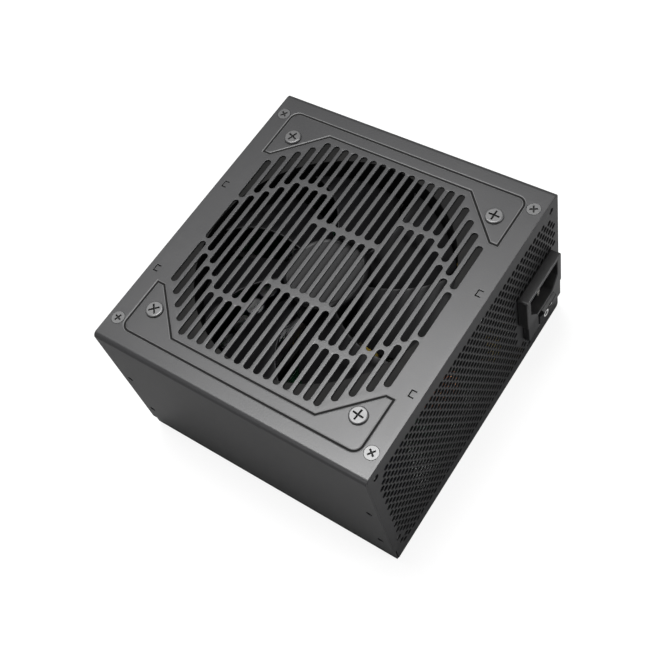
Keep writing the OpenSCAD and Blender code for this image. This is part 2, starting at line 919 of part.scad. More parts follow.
module boost_choke_core() {
    color([0.55, 0.55, 0.2])
        translate([boost_choke[0], boost_choke[1], board_top + wire_t])
            ring(boost_ring[0], boost_ring[1], boost_ring[2]);
}

module boost_choke_winding() {
    color([0.72, 0.36, 0.16]) translate([boost_choke[0], boost_choke[1], board_top])
        ring_winding(boost_ring, [[0, 330]]);
}

// ---------- input power stage ----------

module bulk_capacitor() {
    color([0.12, 0.12, 0.3]) translate([bulk_at[0], bulk_at[1], board_top]) difference() {
        cylinder(r = bulk_r, h = bulk_h);
        translate([0, 0, bulk_h]) cross_recess(bulk_r, 1, 0.4);
    }
}

module primary_heat_sink() {
    color([0.6, 0.62, 0.64]) difference() {
        translate([primary_sink_x, primary_sink_y[0], board_top])
            finned_plate(primary_sink_y[1] - primary_sink_y[0], primary_sink_h,
                         [26, 32, 38], 10);
        package_screw_axes() cylinder(r = board_screw_r, h = 20, center = true);
    }
}

module package_screw_axes() {
    for (y = package_ys)
        translate([primary_sink_x, y + package_size[1] / 2,
                   board_top + package_lift + package_screw_z]) rotate([0, 90, 0]) children();
}

// Packages clamped to the sink, each standing on three legs
module package(size, lift, legs) {
    translate([0, 0, lift]) cube(size);
    for (i = [1:legs])
        translate([size[0] / 2 - 0.3, i * size[1] / (legs + 1) - 0.5, 0])
            cube([0.6, 1, lift]);
}

module bridge_rectifier() {
    color([0.1, 0.1, 0.1])
        translate([primary_sink_x - bridge_size[0], bridge_y, board_top])
            package(bridge_size, package_lift, 4);
}

module primary_transistors() {
    color([0.1, 0.1, 0.1]) difference() {
        for (y = package_ys)
            translate([primary_sink_x - package_size[0], y, board_top])
                package(package_size, package_lift, 3);
        package_screw_axes() cylinder(r = board_screw_r, h = 20, center = true);
    }
}

module transistor_screws() {
    color([0.75, 0.75, 0.76]) package_screw_axes() {
        translate([0, 0, -package_size[0]])
            cylinder(r = board_screw_r, h = package_size[0] + sink_t);
        translate([0, 0, -package_size[0] - 1.8]) cylinder(r = 2.8, h = 1.8);
    }
}

module thermistor() {
    color([0.15, 0.35, 0.25]) translate([-22, -half_d + 20, board_top]) {
        translate([0, 0, 9]) rotate([0, 90, 0]) cylinder(r = 6, h = 4, center = true);
        for (y = [-3.5, 3.5]) translate([-0.4, y - 0.4, 0]) cube([0.8, 0.8, 6]);
    }
}

module relay() {
    color([0.15, 0.25, 0.5]) translate([25, 14, board_top]) cube([16, 12, 15]);
}

module at_transformer() {
    translate([transformer_at[0], transformer_at[1], board_top + 2]) children();
}

// Core with two windows: outer frame and a round middle limb
module transformer_core() {
    size = core_size;
    color([0.2, 0.2, 0.2]) at_transformer() {
        difference() {
            translate([-size[0] / 2, -limb_w, 0]) cube([size[0], 2 * limb_w, size[2]]);
            translate([-size[0] / 2 + yoke_w, -limb_w - cut, (size[2] - window_h) / 2])
                cube([size[0] - 2 * yoke_w, 2 * limb_w + 2 * cut, window_h]);
        }
        translate([0, 0, (size[2] - window_h) / 2]) cylinder(r = limb_w / 2, h = window_h);
    }
}

module transformer_winding() {
    flange = 1;
    color([0.85, 0.75, 0.2]) at_transformer() {
        translate([0, 0, (core_size[2] - window_h) / 2])
            ring(limb_w / 2, core_size[0] / 2 - yoke_w, window_h);
        for (y = [-1, 1])
            translate([-6, y * (limb_w + 1) - 1, -2]) cube([12, 2, 7 + flange]);
    }
}

module standby_transformer() {
    color([0.85, 0.75, 0.2]) translate([-half_w + 15, -21, board_top]) {
        translate([2, 0, 0]) cube([16, 18, 17]);
        translate([0, 4, 2]) cube([20, 10, 13]);
    }
}

module resonant_choke() {
    color([0.25, 0.25, 0.25]) translate([-36, -19, board_top]) {
        cube([12, 14, 4]);
        translate([1, 1, 0]) cube([10, 12, 15]);
    }
}

module control_board() {
    color([0.1, 0.28, 0.16]) translate([-66, 6, board_top]) cube([40, board_t, 28]);
    color([0.08, 0.08, 0.08]) {
        translate([-60, 4.4, board_top + 12]) cube([10, board_t, 6]);
        translate([-44, 4.4, board_top + 10]) cube([8, board_t, 8]);
    }
}

// ---------- output stage ----------

module secondary_heat_sink() {
    color([0.6, 0.62, 0.64])
        translate([secondary_sink_x[1], secondary_sink_y, board_top]) rotate(90)
            finned_plate(secondary_sink_x[1] - secondary_sink_x[0], secondary_sink_h,
                         [], 0);
    color([0.6, 0.62, 0.64])
        for (z = [22, 28, 34])
            block([secondary_sink_x[0], secondary_sink_y + sink_t, board_top + z],
                  [secondary_sink_x[1], secondary_sink_y + sink_t + 8, board_top + z + fin_t]);
}

module secondary_transistors() {
    color([0.1, 0.1, 0.1])
        for (x = [-54, -38, -22, -6])
            translate([x, secondary_sink_y + sink_t, board_top])
                mirror([0, 1, 0]) rotate(-90) package([4.4, 10, 14], 3, 3);
}

module output_capacitors() {
    color([0.12, 0.12, 0.3]) {
        for (x = cap_xs) translate([x, cap_row_y, board_top]) cylinder(r = cap_r, h = cap_h);
        for (x = [0, 14]) translate([x, half_d - 39, board_top]) cylinder(r = cap_r, h = 18);
    }
}

module converter_board() {
    color([0.1, 0.28, 0.16]) translate([30, half_d - 37, board_top]) cube([32, board_t, 28]);
    color([0.3, 0.3, 0.3])
        for (x = [34, 47])
            translate([x, half_d - 37 - 5, board_top + 8]) cube([11, 5, 11]);
}

module busbars() {
    color([0.75, 0.42, 0.2])
        for (x = [34, 42, 50])
            translate([x, modular_y - 10, board_top]) {
                cube([1.2, 10, 20]);
                translate([0, -3, 0]) cube([1.2, 4, 6]);
            }
}

module modular_board() {
    color([0.1, 0.28, 0.16])
        block([-modular_x, modular_y, board_top], [modular_x, modular_y + board_t, modular_top]);
}

// ---------- output sockets ----------

function socket_width(ways) = ways * pin_pitch + socket_rim;
socket_height = 2 * pin_pitch + socket_rim;
socket_y = modular_y + board_t;

module cells(ways) {
    for (i = [0:ways - 1], row = [-0.5, 0.5])
        translate([(i - (ways - 1) / 2) * pin_pitch, row * pin_pitch]) children();
}

module socket_window(ways, at) {
    wide = socket_width(ways) + 2 * fit;
    block([at[0] - wide / 2, half_d - sheet - cut, at[1] - socket_height / 2 - fit],
          [at[0] + wide / 2, half_d + cut, at[1] + socket_height / 2 + ramp_size[2] + fit]);
}

module output_socket(ways, at) {
    wide = socket_width(ways);
    difference() {
        union() {
            block([at[0] - wide / 2, socket_y, at[1] - socket_height / 2],
                  [at[0] + wide / 2, half_d, at[1] + socket_height / 2]);
            block([at[0] - ramp_size[0] / 2, half_d - ramp_size[1], at[1]],
                  [at[0] + ramp_size[0] / 2, half_d, at[1] + socket_height / 2 + ramp_size[2]]);
        }
        along_y(socket_y + socket_floor, half_d + cut)
            translate(at) cells(ways) square(cell_w, center = true);
    }
}

module main_socket() {
    color([0.1, 0.1, 0.1]) output_socket(main_ways, main_at);
}

module eight_pin_sockets() {
    color([0.1, 0.1, 0.1]) for (at = eight_at) output_socket(eight_ways, at);
}

module six_pin_sockets() {
    color([0.1, 0.1, 0.1]) for (at = six_at) output_socket(six_ways, at);
}

module contacts(ways, at) {
    along_y(socket_y + socket_floor, socket_y + socket_floor + contact_len)
        translate(at) cells(ways) square(contact_w, center = true);
}

module socket_pins() {
    color([0.85, 0.72, 0.4]) {
        contacts(main_ways, main_at);
        for (at = eight_at) contacts(eight_ways, at);
        for (at = six_at) contacts(six_ways, at);
    }
}

top_cover();
floor_tray();
mains_panel();
output_panel();
cover_screws();
fan_screws();
insulation_sheet();
standoffs();
main_board();
board_screws();
fan_frame();
fan_rotor();
rotor_yoke();
rotor_magnet();
fan_shaft();
shaft_clip();
bearing_sleeve();
stator_core();
stator_coils();
fan_circuit();
fan_lead();
fan_plug();
fan_header();
inlet_housing();
inlet_pins();
switch_housing();
rocker();
rocker_marks();
switch_terminals();
inlet_board();
mains_filter_cap();
safety_caps();
fuse();
choke_cores();
choke_windings();
bridge_rectifier();
primary_heat_sink();
primary_transistors();
transistor_screws();
boost_choke_core();
boost_choke_winding();
bulk_capacitor();
thermistor();
relay();
transformer_core();
transformer_winding();
standby_transformer();
resonant_choke();
control_board();
secondary_heat_sink();
secondary_transistors();
output_capacitors();
converter_board();
busbars();
modular_board();
main_socket();
eight_pin_sockets();
six_pin_sockets();
socket_pins();
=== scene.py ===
from math import atan2, cos, hypot, pi, radians, sin, sqrt

import bmesh
import bpy
from mathutils import Matrix, Vector


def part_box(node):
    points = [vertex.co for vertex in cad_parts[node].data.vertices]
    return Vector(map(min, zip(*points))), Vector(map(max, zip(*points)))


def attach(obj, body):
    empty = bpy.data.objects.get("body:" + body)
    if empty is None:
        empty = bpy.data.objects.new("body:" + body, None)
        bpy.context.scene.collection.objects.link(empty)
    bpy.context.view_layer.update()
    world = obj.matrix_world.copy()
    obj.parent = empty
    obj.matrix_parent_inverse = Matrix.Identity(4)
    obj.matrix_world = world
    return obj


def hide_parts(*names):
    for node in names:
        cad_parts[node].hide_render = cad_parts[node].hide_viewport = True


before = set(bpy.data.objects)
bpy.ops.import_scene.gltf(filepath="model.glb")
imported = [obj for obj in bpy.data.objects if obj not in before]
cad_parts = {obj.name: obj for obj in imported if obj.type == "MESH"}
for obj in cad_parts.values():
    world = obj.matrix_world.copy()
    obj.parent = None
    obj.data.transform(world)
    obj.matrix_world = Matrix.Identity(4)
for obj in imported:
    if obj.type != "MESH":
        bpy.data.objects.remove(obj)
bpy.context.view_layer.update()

# ---------- the bench that the supply stands on ----------
# A sheet that glows near white to the camera and is a plain dark grey to all
# else, under a soft lamp overhead, a broad one at the side and one in front.

scene = bpy.context.scene
scene.view_settings.view_transform = "Standard"


class Nodes:
    """Adds nodes to one tree and sets their sockets."""

    def __init__(self, tree):
        self.tree = tree

    def join(self, value, socket):
        """Links a node's output to a socket, or gives the socket a plain value."""
        if isinstance(value, bpy.types.NodeSocket):
            self.tree.links.new(value, socket)
        elif socket.type == "RGBA":
            socket.default_value = (*value, 1)
        else:
            socket.default_value = value

    def add(self, kind, *terms, **named):
        """A new node's outputs; names in lower case are its settings, the rest its sockets."""
        node = self.tree.nodes.new(kind)
        for name, value in named.items():
            if name.islower():
                setattr(node, name, value)
        for place, value in enumerate(terms):
            if value is not None:
                self.join(value, node.inputs[place])
        for name, value in named.items():
            if not name.islower():
                self.join(value, node.inputs[name.replace("_", " ")])
        return node.outputs

    def number(self, operation, *terms, **settings):
        return self.add("ShaderNodeMath", *terms, operation=operation, **settings)[0]

    def remap(self, value, low, high, to_low=0.0, to_high=1.0):
        return self.add("ShaderNodeMapRange", value, low, high, to_low, to_high)["Result"]

    def blend(self, share, first, second):
        """A colour between two; a mix node's colours are its seventh and eighth sockets."""
        skipped = [None] * 5
        return self.add("ShaderNodeMix", share, *skipped, first, second, data_type="RGBA")[2]

    def where(self):
        return self.add("ShaderNodeTexCoord")["Object"]

    def noise(self, scale, detail=2.0, roughness=0.5, at=None):
        return self.add(
            "ShaderNodeTexNoise",
            Vector=at or self.where(), Scale=scale, Detail=detail, Roughness=roughness,
        )["Fac"]


def new_object(name, data):
    """An object in the scene that shows some data."""
    added = bpy.data.objects.new(name, data)
    scene.collection.objects.link(added)
    return added


def new_finish(name, **settings):
    """A material and its shader's sockets, on which the settings go straight."""
    finish = bpy.data.materials.new(name)
    finish.use_nodes = True
    nodes = Nodes(finish.node_tree)
    shader = finish.node_tree.nodes["Principled BSDF"].inputs
    for socket, value in settings.items():
        nodes.join(value, shader[socket.replace("_", " ")])
    return finish, nodes, shader


def soft_lamp(name, place, aim, width, height, power):
    lamp = bpy.data.lights.new(name, "AREA")
    lamp.shape = "RECTANGLE"
    lamp.size = width
    lamp.size_y = height
    lamp.energy = power
    holder = new_object(name, lamp)
    holder.location = place
    toward = Vector(aim) - Vector(place)
    holder.rotation_euler = toward.to_track_quat("-Z", "Y").to_euler()


bench_half = 6
corners = [(-bench_half, -bench_half), (bench_half, -bench_half)]
corners += [(bench_half, bench_half), (-bench_half, bench_half)]
bench_mesh = bpy.data.meshes.new("bench")
bench_mesh.from_pydata([(x, y, 0) for x, y in corners], [], [(0, 1, 2, 3)])
bench = new_object("bench", bench_mesh)
bench_finish, nodes, shader = new_finish("bench_paper", Roughness=0.9, Specular_IOR_Level=0.1)
seen = nodes.add("ShaderNodeLightPath")["Is Camera Ray"]
mottle = nodes.remap(nodes.noise(9.0), 0.0, 1.0, 0.13, 0.15)
nodes.join(nodes.blend(seen, (0.22, 0.22, 0.22), mottle), shader["Base Color"])
nodes.join((1, 1, 1), shader["Emission Color"])
nodes.join(nodes.number("MULTIPLY", seen, 0.86), shader["Emission Strength"])
bench_mesh.materials.append(bench_finish)

room = bpy.data.worlds.new("room")
scene.world = room
room.use_nodes = True
nodes = Nodes(room.node_tree)
seen = nodes.add("ShaderNodeLightPath")["Is Camera Ray"]
backdrop = room.node_tree.nodes["Background"].inputs
nodes.join((1, 1, 1), backdrop["Color"])
nodes.join(nodes.remap(seen, 0.0, 1.0, 0.3, 1.0), backdrop["Strength"])

soft_lamp("lamp_overhead", (0.16, 0.27, 1.5), (0, 0, 0.08), 0.62, 0.62, 34)
soft_lamp("lamp_side", (-1.4, 0.2, 0.9), (0, 0, 0.05), 0.9, 0.9, 5)
soft_lamp("lamp_front", (0.5, -1.6, 0.6), (0, 0, 0.04), 0.9, 0.6, 18)

# The camera's distance and offsets put a 150 mm wide case on the middle of
# the picture, seen from above its mains end.
turn, rise, tilt = (radians(angle) for angle in (-38.557, 56.442, -20.542))
outward = Vector((sin(turn) * cos(rise), -cos(turn) * cos(rise), sin(rise)))
level = (-outward).cross(Vector((0, 0, 1))).normalized()
upright = level.cross(-outward)
camera_x = cos(tilt) * level + sin(tilt) * upright
camera_y = -sin(tilt) * level + cos(tilt) * upright
middle = Vector((0, 0, 0.043))
stand = middle - 0.007398 * camera_x - 0.003508 * camera_y + 0.470842 * outward
camera = new_object("camera", bpy.data.cameras.new("camera"))
camera_turn = Matrix((camera_x, camera_y, outward)).transposed().to_4x4()
camera.matrix_world = Matrix.Translation(stand) @ camera_turn
camera.data.lens = 57.15
camera.data.sensor_width = 36
scene.camera = camera

# ---------- powder coat ----------
# The case is dipped, baked and dry: a satin black coat with a fine orange
# peel, worn a little at sharp edges, with a little dust on what faces up. Round
# the lips of its pressed grooves it is paler, a painted highlight, and at their
# bottom near black, a painted shade.


def new_tree(name, inputs, outputs, kind="ShaderNodeTree"):
    """An empty tree, with its inputs and outputs named by the kind of their sockets."""
    tree = bpy.data.node_groups.new(name, kind)
    for direction, sockets in (("INPUT", inputs), ("OUTPUT", outputs)):
        for socket_kind, labels in sockets.items():
            for label in labels:
                tree.interface.new_socket(
                    label, in_out=direction, socket_type="NodeSocket" + socket_kind
                )
    given = tree.nodes.new("NodeGroupInput").outputs
    return Nodes(tree), given, tree.nodes.new("NodeGroupOutput").inputs


def use_group(nodes, group, **sockets):
    """The outputs of a node group placed in a material with its own values."""
    return nodes.add("ShaderNodeGroup", node_tree=group.tree, **sockets)


# Fine grain: height for a bump and a roughness that wanders a little.
grain_group, given, made = new_tree(
    "fine_grain", {"Float": ["Scale", "Roughness", "Spread"]}, {"Float": ["Height", "Roughness"]}
)
wander = grain_group.number("SUBTRACT", grain_group.noise(28.0, 3.0), 0.5)
rougher = grain_group.number("MULTIPLY_ADD", wander, given["Spread"], given["Roughness"])
grain_group.join(grain_group.noise(given["Scale"]), made["Height"])
grain_group.join(rougher, made["Roughness"])

# Edge wear: a mask on convex edges, broken up so that it is never a line.
wear_group, given, made = new_tree(
    "edge_wear", {"Float": ["Reach", "Amount"]}, {"Float": ["Mask"]}
)
start = wear_group.number("SUBTRACT", 0.62, given["Reach"])
convex = wear_group.add("ShaderNodeNewGeometry")["Pointiness"]
edge = wear_group.remap(convex, start, 0.66)
broken = wear_group.remap(wear_group.noise(210.0, 4.0), 0.45, 0.65)
both = wear_group.number("MULTIPLY", edge, broken)
mask = wear_group.number("MULTIPLY", both, given["Amount"], use_clamp=True)
wear_group.join(mask, made["Mask"])

# Dust: a pale tint on faces that look up, in soft patches.
dust_group, given, made = new_tree(
    "settled_dust",
    {"Color": ["Color"], "Float": ["Amount"]},
    {"Color": ["Color"], "Float": ["Mask"]},
)
facing = dust_group.add("ShaderNodeSeparateXYZ", dust_group.add("ShaderNodeNewGeometry")["Normal"])
up = dust_group.remap(facing["Z"], 0.4, 1.0)
thin = dust_group.remap(dust_group.noise(45.0, 6.0, 0.7), 0.4, 0.75)
lying = dust_group.number("MULTIPLY", up, thin)
share = dust_group.number("MULTIPLY", lying, given["Amount"], use_clamp=True)
dust_group.join(dust_group.blend(share, given["Color"], (0.35, 0.33, 0.3)), made["Color"])
dust_group.join(share, made["Mask"])

# Pressed places: dark and dull at the bottom, a painted shade, and a paler colour round the lip, a
# painted highlight.
hollow_shade_and_highlight_group, given, made = new_tree(
    "pressed_hollow_shade_and_highlight",
    {"Float": ["Depth", "Roughness"], "Color": ["Color", "Lip Color"]},
    {"Color": ["Color"], "Float": ["Roughness"]},
)
rising = hollow_shade_and_highlight_group.remap(given["Depth"], 0.0, 0.1)
falling = hollow_shade_and_highlight_group.remap(given["Depth"], 0.3, 0.5, 1.0, 0.0)
lip = hollow_shade_and_highlight_group.number("MULTIPLY", rising, falling)
# Painted shade: the bottom of a hollow turns near black.
shaded_bottom = hollow_shade_and_highlight_group.remap(given["Depth"], 0.4, 0.65)
# Painted highlight: the lip takes the paler lip colour.
lip_highlighted = hollow_shade_and_highlight_group.blend(lip, given["Color"], given["Lip Color"])
hollow_shade_and_highlight_group.join(hollow_shade_and_highlight_group.blend(shaded_bottom, lip_highlighted, (0.001, 0.001, 0.001)), made["Color"])
dulled = hollow_shade_and_highlight_group.add("ShaderNodeMix", shaded_bottom, None, given["Roughness"], 1.0)[0]
hollow_shade_and_highlight_group.join(dulled, made["Roughness"])


def link_shader(nodes, shader, color, roughness, height=None, strength=0.0, depth=0.0001):
    """Gives the shader a colour, a roughness and, through a bump, a height."""
    nodes.join(color, shader["Base Color"])
    nodes.join(roughness, shader["Roughness"])
    if height is not None:
        bump = nodes.add("ShaderNodeBump", Height=height, Strength=strength, Distance=depth)
        nodes.join(bump["Normal"], shader["Normal"])


def coated(
    name, color, worn, grain_scale, roughness, spread, bump, wear, dust, lip=None, **settings
):
    """A painted, moulded or cast finish made of the groups; lip is for pressed sheet and screw
    recesses: the colour of a painted highlight round their lip, with painted shade at their bottom.
    """
    finish, nodes, shader = new_finish(name, **settings)
    grain = use_group(
        nodes, grain_group, Scale=grain_scale, Roughness=roughness, Spread=spread
    )
    rim = use_group(nodes, wear_group, Reach=0.05, Amount=wear)
    rubbed = nodes.blend(rim["Mask"], color, worn)
    top = use_group(nodes, dust_group, Color=rubbed, Amount=dust)
    outer = (top["Color"], grain["Roughness"])
    # Painted shade at the bottom of sunk places and a painted highlight round their lip.
    if lip:
        sunk = nodes.add("ShaderNodeAttribute", attribute_name="sunk")["Fac"]
        hollow = use_group(
            nodes, hollow_shade_and_highlight_group, Depth=sunk, Color=outer[0], Lip_Color=lip, Roughness=outer[1]
        )
        outer = (hollow["Color"], hollow["Roughness"])
    link_shader(nodes, shader, *outer, grain["Height"], bump)
    return finish


# The lip colour is a painted highlight round the grooves' lips; their bottoms get painted shade.
case_paint = coated(
    "case_paint", (0.018, 0.018, 0.019), (0.09, 0.09, 0.09), 1500.0, 0.4, 0.06, 0.3, 0.04, 0.008,
    lip=(0.14, 0.14, 0.14),
)

# ---------- top cover ----------
# One blank of 0.8 mm steel, punched flat with its slots and screw holes,
# pressed with two outline grooves, then bent down along both long edges.

case_wide, case_deep, case_high = 0.150, 0.140, 0.086
half_deep = case_deep / 2
sheet = 0.0008
bend_radius = 0.0025
bend_line = case_wide / 2 - bend_radius
bend_length = bend_radius * pi / 2
bend_steps = 8
wall_start = bend_line + bend_length
wall_end = wall_start + case_high - bend_radius - 0.008


def finish_tree(nodes, made, pieces, finish, smooth=True):
    """Makes the pieces real, smooths them and gives them their finish."""
    real = nodes.add("GeometryNodeRealizeInstances", pieces)[0]
    if smooth:
        real = nodes.add("GeometryNodeSetShadeSmooth", real)[0]
    painted = nodes.add("GeometryNodeSetMaterial", Geometry=real, Material=finish)[0]
    nodes.join(painted, made[0])
    return nodes.tree


def merged(nodes, *pieces):
    """The pieces joined up where their points meet."""
    whole = nodes.tree.nodes.new("GeometryNodeJoinGeometry")
    for piece in pieces:
        nodes.join(piece, whole.inputs[0])
    return nodes.add("GeometryNodeMergeByDistance", Geometry=whole.outputs[0], Distance=1e-6)[0]


def punched_sheet_tree():
    """Nodes that fill a drawing of outlines, punch it, give it a thickness and bend it."""
    nodes, given, made = new_tree(
        "punched_sheet",
        {
            "Geometry": ["Drawing"],
            "Float": ["Thickness", "Bend Line", "Bend Radius", "Groove Depth"],
            "Int": ["Punch Sides"],
            "Material": ["Finish"],
        },
        {"Geometry": ["Sheet"]},
        "GeometryNodeTree",
    )
    add, value = nodes.add, nodes.number

    def attribute(name, kind="FLOAT"):
        return add("GeometryNodeInputNamedAttribute", name, data_type=kind)[0]

    def pick(shape, name, over):
        """The points of a drawing whose attribute is over a value, and the others."""
        chosen = value("GREATER_THAN", attribute(name), over)
        return add(
            "GeometryNodeSeparateGeometry", Geometry=shape, Selection=chosen, domain="POINT"
        )

    def store(shape, name, number):
        return add(
            "GeometryNodeStoreNamedAttribute",
            Geometry=shape, Name=name, Value=number, data_type="FLOAT", domain="POINT",
        )[0]

    place = add("GeometryNodeInputPosition")[0]
    drawn = pick(given["Drawing"], "punch_radius", 0.0)
    # One punch, turned by half a step so that its flats face left and right.
    sides = given["Punch Sides"]
    spin = add("ShaderNodeCombineXYZ", Z=value("DIVIDE", pi, sides))[0]
    circle = add("GeometryNodeCurvePrimitiveCircle", Resolution=sides, Radius=1.0)[0]
    punch = add("GeometryNodeTransform", Geometry=circle, Rotation=spin)[0]
    across = add("ShaderNodeSeparateXYZ", place)["X"]
    sided = store(punch, "side", value("SIGN", across))
    struck = add(
        "GeometryNodeInstanceOnPoints",
        Points=drawn["Selection"], Instance=sided, Scale=attribute("punch_radius"),
    )[0]
    holes = add("GeometryNodeRealizeInstances", struck)[0]
    pull = value("MULTIPLY", attribute("side"), attribute("punch_stretch"))
    aside = add("ShaderNodeCombineXYZ", X=pull)[0]
    stretched = add("GeometryNodeSetPosition", Geometry=holes, Offset=aside)[0]
    outlines = add("GeometryNodeMeshToCurve", drawn["Inverted"])[0]
    every_line = nodes.tree.nodes.new("GeometryNodeJoinGeometry")
    nodes.join(outlines, every_line.inputs[0])
    nodes.join(stretched, every_line.inputs[0])
    filled = add(
        "GeometryNodeFillCurve",
        Curve=every_line.outputs[0], Group_ID=attribute("region", "INT"), mode="TRIANGLES",
    )[0]
    blank = add("GeometryNodeMergeByDistance", Geometry=filled, Distance=1e-6)[0]
    # The underside and the cut edges, then both faces joined up.
    down = add("ShaderNodeCombineXYZ", Z=-1.0)[0]
    pushed = add(
        "GeometryNodeExtrudeMesh",
        Mesh=blank, Offset=down, Offset_Scale=given["Thickness"], Individual=False, mode="FACES",
    )[0]
    solid = merged(nodes, blank, add("GeometryNodeFlipFaces", pushed)[0])
    # The grooves: points drawn as pressed sink by the groove's depth.
    pressed = pick(drawn["Inverted"], "pressed", 0.5)["Selection"]
    distance = add("GeometryNodeProximity", pressed, target_element="POINTS")["Distance"]
    deep = given["Groove Depth"]
    sink = add("ShaderNodeCombineXYZ", Z=value("MULTIPLY", deep, -1.0))[0]
    in_groove = value(
        "MULTIPLY", value("LESS_THAN", distance, 1e-5), value("GREATER_THAN", deep, 0.0)
    )
    # The sunk mark drives painted shade at a groove's bottom and a painted highlight at its lips in
    # the case paint.
    marked = store(solid, "sunk", in_groove)
    grooved = add("GeometryNodeSetPosition", Geometry=marked, Selection=in_groove, Offset=sink)[0]
    # The bends: past the bend line the blank runs round a quarter circle and down.
    at = add("ShaderNodeSeparateXYZ", place)
    reach = value("ABSOLUTE", at["X"])
    line, radius = given["Bend Line"], given["Bend Radius"]
    past = value("SUBTRACT", reach, line)
    angle = value("MINIMUM", value("MAXIMUM", value("DIVIDE", past, radius), 0.0), pi / 2)
    straight = value("MAXIMUM", value("SUBTRACT", past, value("MULTIPLY", radius, pi / 2)), 0.0)
    from_centre = value("ADD", radius, at["Z"])
    outwards = value("MULTIPLY", from_centre, value("SINE", angle))
    upwards = value("MULTIPLY", from_centre, value("COSINE", angle))
    bent_x = value("ADD", value("MINIMUM", reach, line), outwards)
    bent_z = value("SUBTRACT", upwards, value("ADD", radius, straight))
    signed_x = value("MULTIPLY", value("SIGN", at["X"]), bent_x)
    folded = add("ShaderNodeCombineXYZ", signed_x, at["Y"], bent_z)[0]
    bent = add("GeometryNodeSetPosition", Geometry=grooved, Position=folded)[0]
    return finish_tree(nodes, made, bent, given["Finish"])


def give_nodes(piece, tree, **inputs):
    """Adds a Geometry Nodes modifier and sets its inputs by their identifiers."""
    modifier = piece.modifiers.new(tree.name, "NODES")
    modifier.node_group = tree
    sockets = {item.name: item.identifier for item in tree.interface.items_tree}
    for name, value in inputs.items():
        modifier[sockets[name.replace("_", " ")]] = value


def round_edges(piece, width, sharper_than=30, segments=2):
    """A bevel on sharp edges, and normals that keep the flats flat."""
    bevel = piece.modifiers.new("rounding", "BEVEL")
    bevel.width = width
    bevel.segments = segments
    bevel.limit_method = "ANGLE"
    bevel.angle_limit = radians(sharper_than)
    bevel.use_clamp_overlap = False
    bevel.miter_outer = "MITER_SHARP"
    flats = piece.modifiers.new("flats", "WEIGHTED_NORMAL")
    flats.weight = 100
    flats.keep_sharp = True


def finished(piece, name, place=None):
    """Turns a piece and its modifiers into one plain mesh in its place."""
    graph = bpy.context.evaluated_depsgraph_get()
    mesh = bpy.data.meshes.new_from_object(
        piece.evaluated_get(graph), preserve_all_data_layers=True, depsgraph=graph
    )
    bpy.data.objects.remove(piece)
    for leftover in [a.name for a in mesh.attributes if a.name in ("side", "region")]:
        mesh.attributes.remove(mesh.attributes[leftover])
    finishes = [slot for slot in mesh.materials if slot is not None]
    if len(finishes) == 1:
        mesh.materials.clear()
        mesh.materials.append(finishes[0])
        mesh.polygons.foreach_set("material_index", [0] * len(mesh.polygons))
    if place is not None:
        mesh.transform(place)
    mesh.name = name
    return new_object(name, mesh)


def new_drawing():
    """A flat drawing whose points carry the region they close and the punch they mark."""
    drawing = bmesh.new()
    drawing.verts.layers.int.new("region")
    for name in ("punch_radius", "punch_stretch", "pressed"):
        drawing.verts.layers.float.new(name)
    return drawing


def draw_outline(drawing, region, points, pressed=False):
    corners = [drawing.verts.new((x, y, 0)) for x, y in points]
    for here, there in zip(corners, corners[1:] + corners[:1]):
        here[drawing.verts.layers.int["region"]] = region
        here[drawing.verts.layers.float["pressed"]] = float(pressed)
        drawing.edges.new((here, there))


def draw_box(drawing, region, x0, x1, y0, y1):
    draw_outline(drawing, region, [(x0, y0), (x1, y0), (x1, y1), (x0, y1)])


def mark_punch(drawing, region, x, y, radius, stretch=0.0):
    point = drawing.verts.new((x, y, 0))
    point[drawing.verts.layers.int["region"]] = region
    point[drawing.verts.layers.float["punch_radius"]] = radius
    point[drawing.verts.layers.float["punch_stretch"]] = stretch


def drawn_object(shape, name):
    """Turns a bmesh into an object."""
    mesh = bpy.data.meshes.new(name)
    shape.to_mesh(mesh)
    shape.free()
    return new_object(name, mesh)


def corner_arc(x, y, radius, start, steps=6):
    """Points of a quarter circle about a corner's centre."""
    angles = [start + pi / 2 * i / steps for i in range(steps + 1)]
    return [(x + radius * cos(angle), y + radius * sin(angle)) for angle in angles]


def grown(points, amount):
    """A closed outline moved outwards, or inwards for a negative amount."""
    moved = []
    for before, here, after in zip(points[-1:] + points[:-1], points, points[1:] + points[:1]):
        ahead = Vector((after[0] - here[0], after[1] - here[1])).normalized()
        behind = Vector((here[0] - before[0], here[1] - before[1])).normalized()
        normal_a = Vector((behind.y, -behind.x))
        normal_b = Vector((ahead.y, -ahead.x))
        mitre = (normal_a + normal_b) / (1 + normal_a.dot(normal_b))
        moved.append((here[0] + mitre.x * amount, here[1] + mitre.y * amount))
    return moved


plate, walls, groove_outer, groove_floor, groove_inner, groove_island = 0, 20, 21, 22, 23, 24
cover_drawing = new_drawing()
draw_box(cover_drawing, plate, -bend_line, bend_line, -half_deep, half_deep)
for side in (-1, 1):
    strips = [
        (1 + step, bend_line + bend_length * step / bend_steps,
         bend_line + bend_length * (step + 1) / bend_steps)
        for step in range(bend_steps)
    ]
    for region, near, far in strips + [(walls, wall_start, wall_end)]:
        x0, x1 = sorted((side * near, side * far))
        draw_box(cover_drawing, region, x0, x1, -half_deep, half_deep)
    for y in (-half_deep + 0.005, half_deep - 0.005):
        for z in (0.020, 0.050):
            down = wall_start + case_high - bend_radius - z
            mark_punch(cover_drawing, walls, side * down, y, 0.0014)

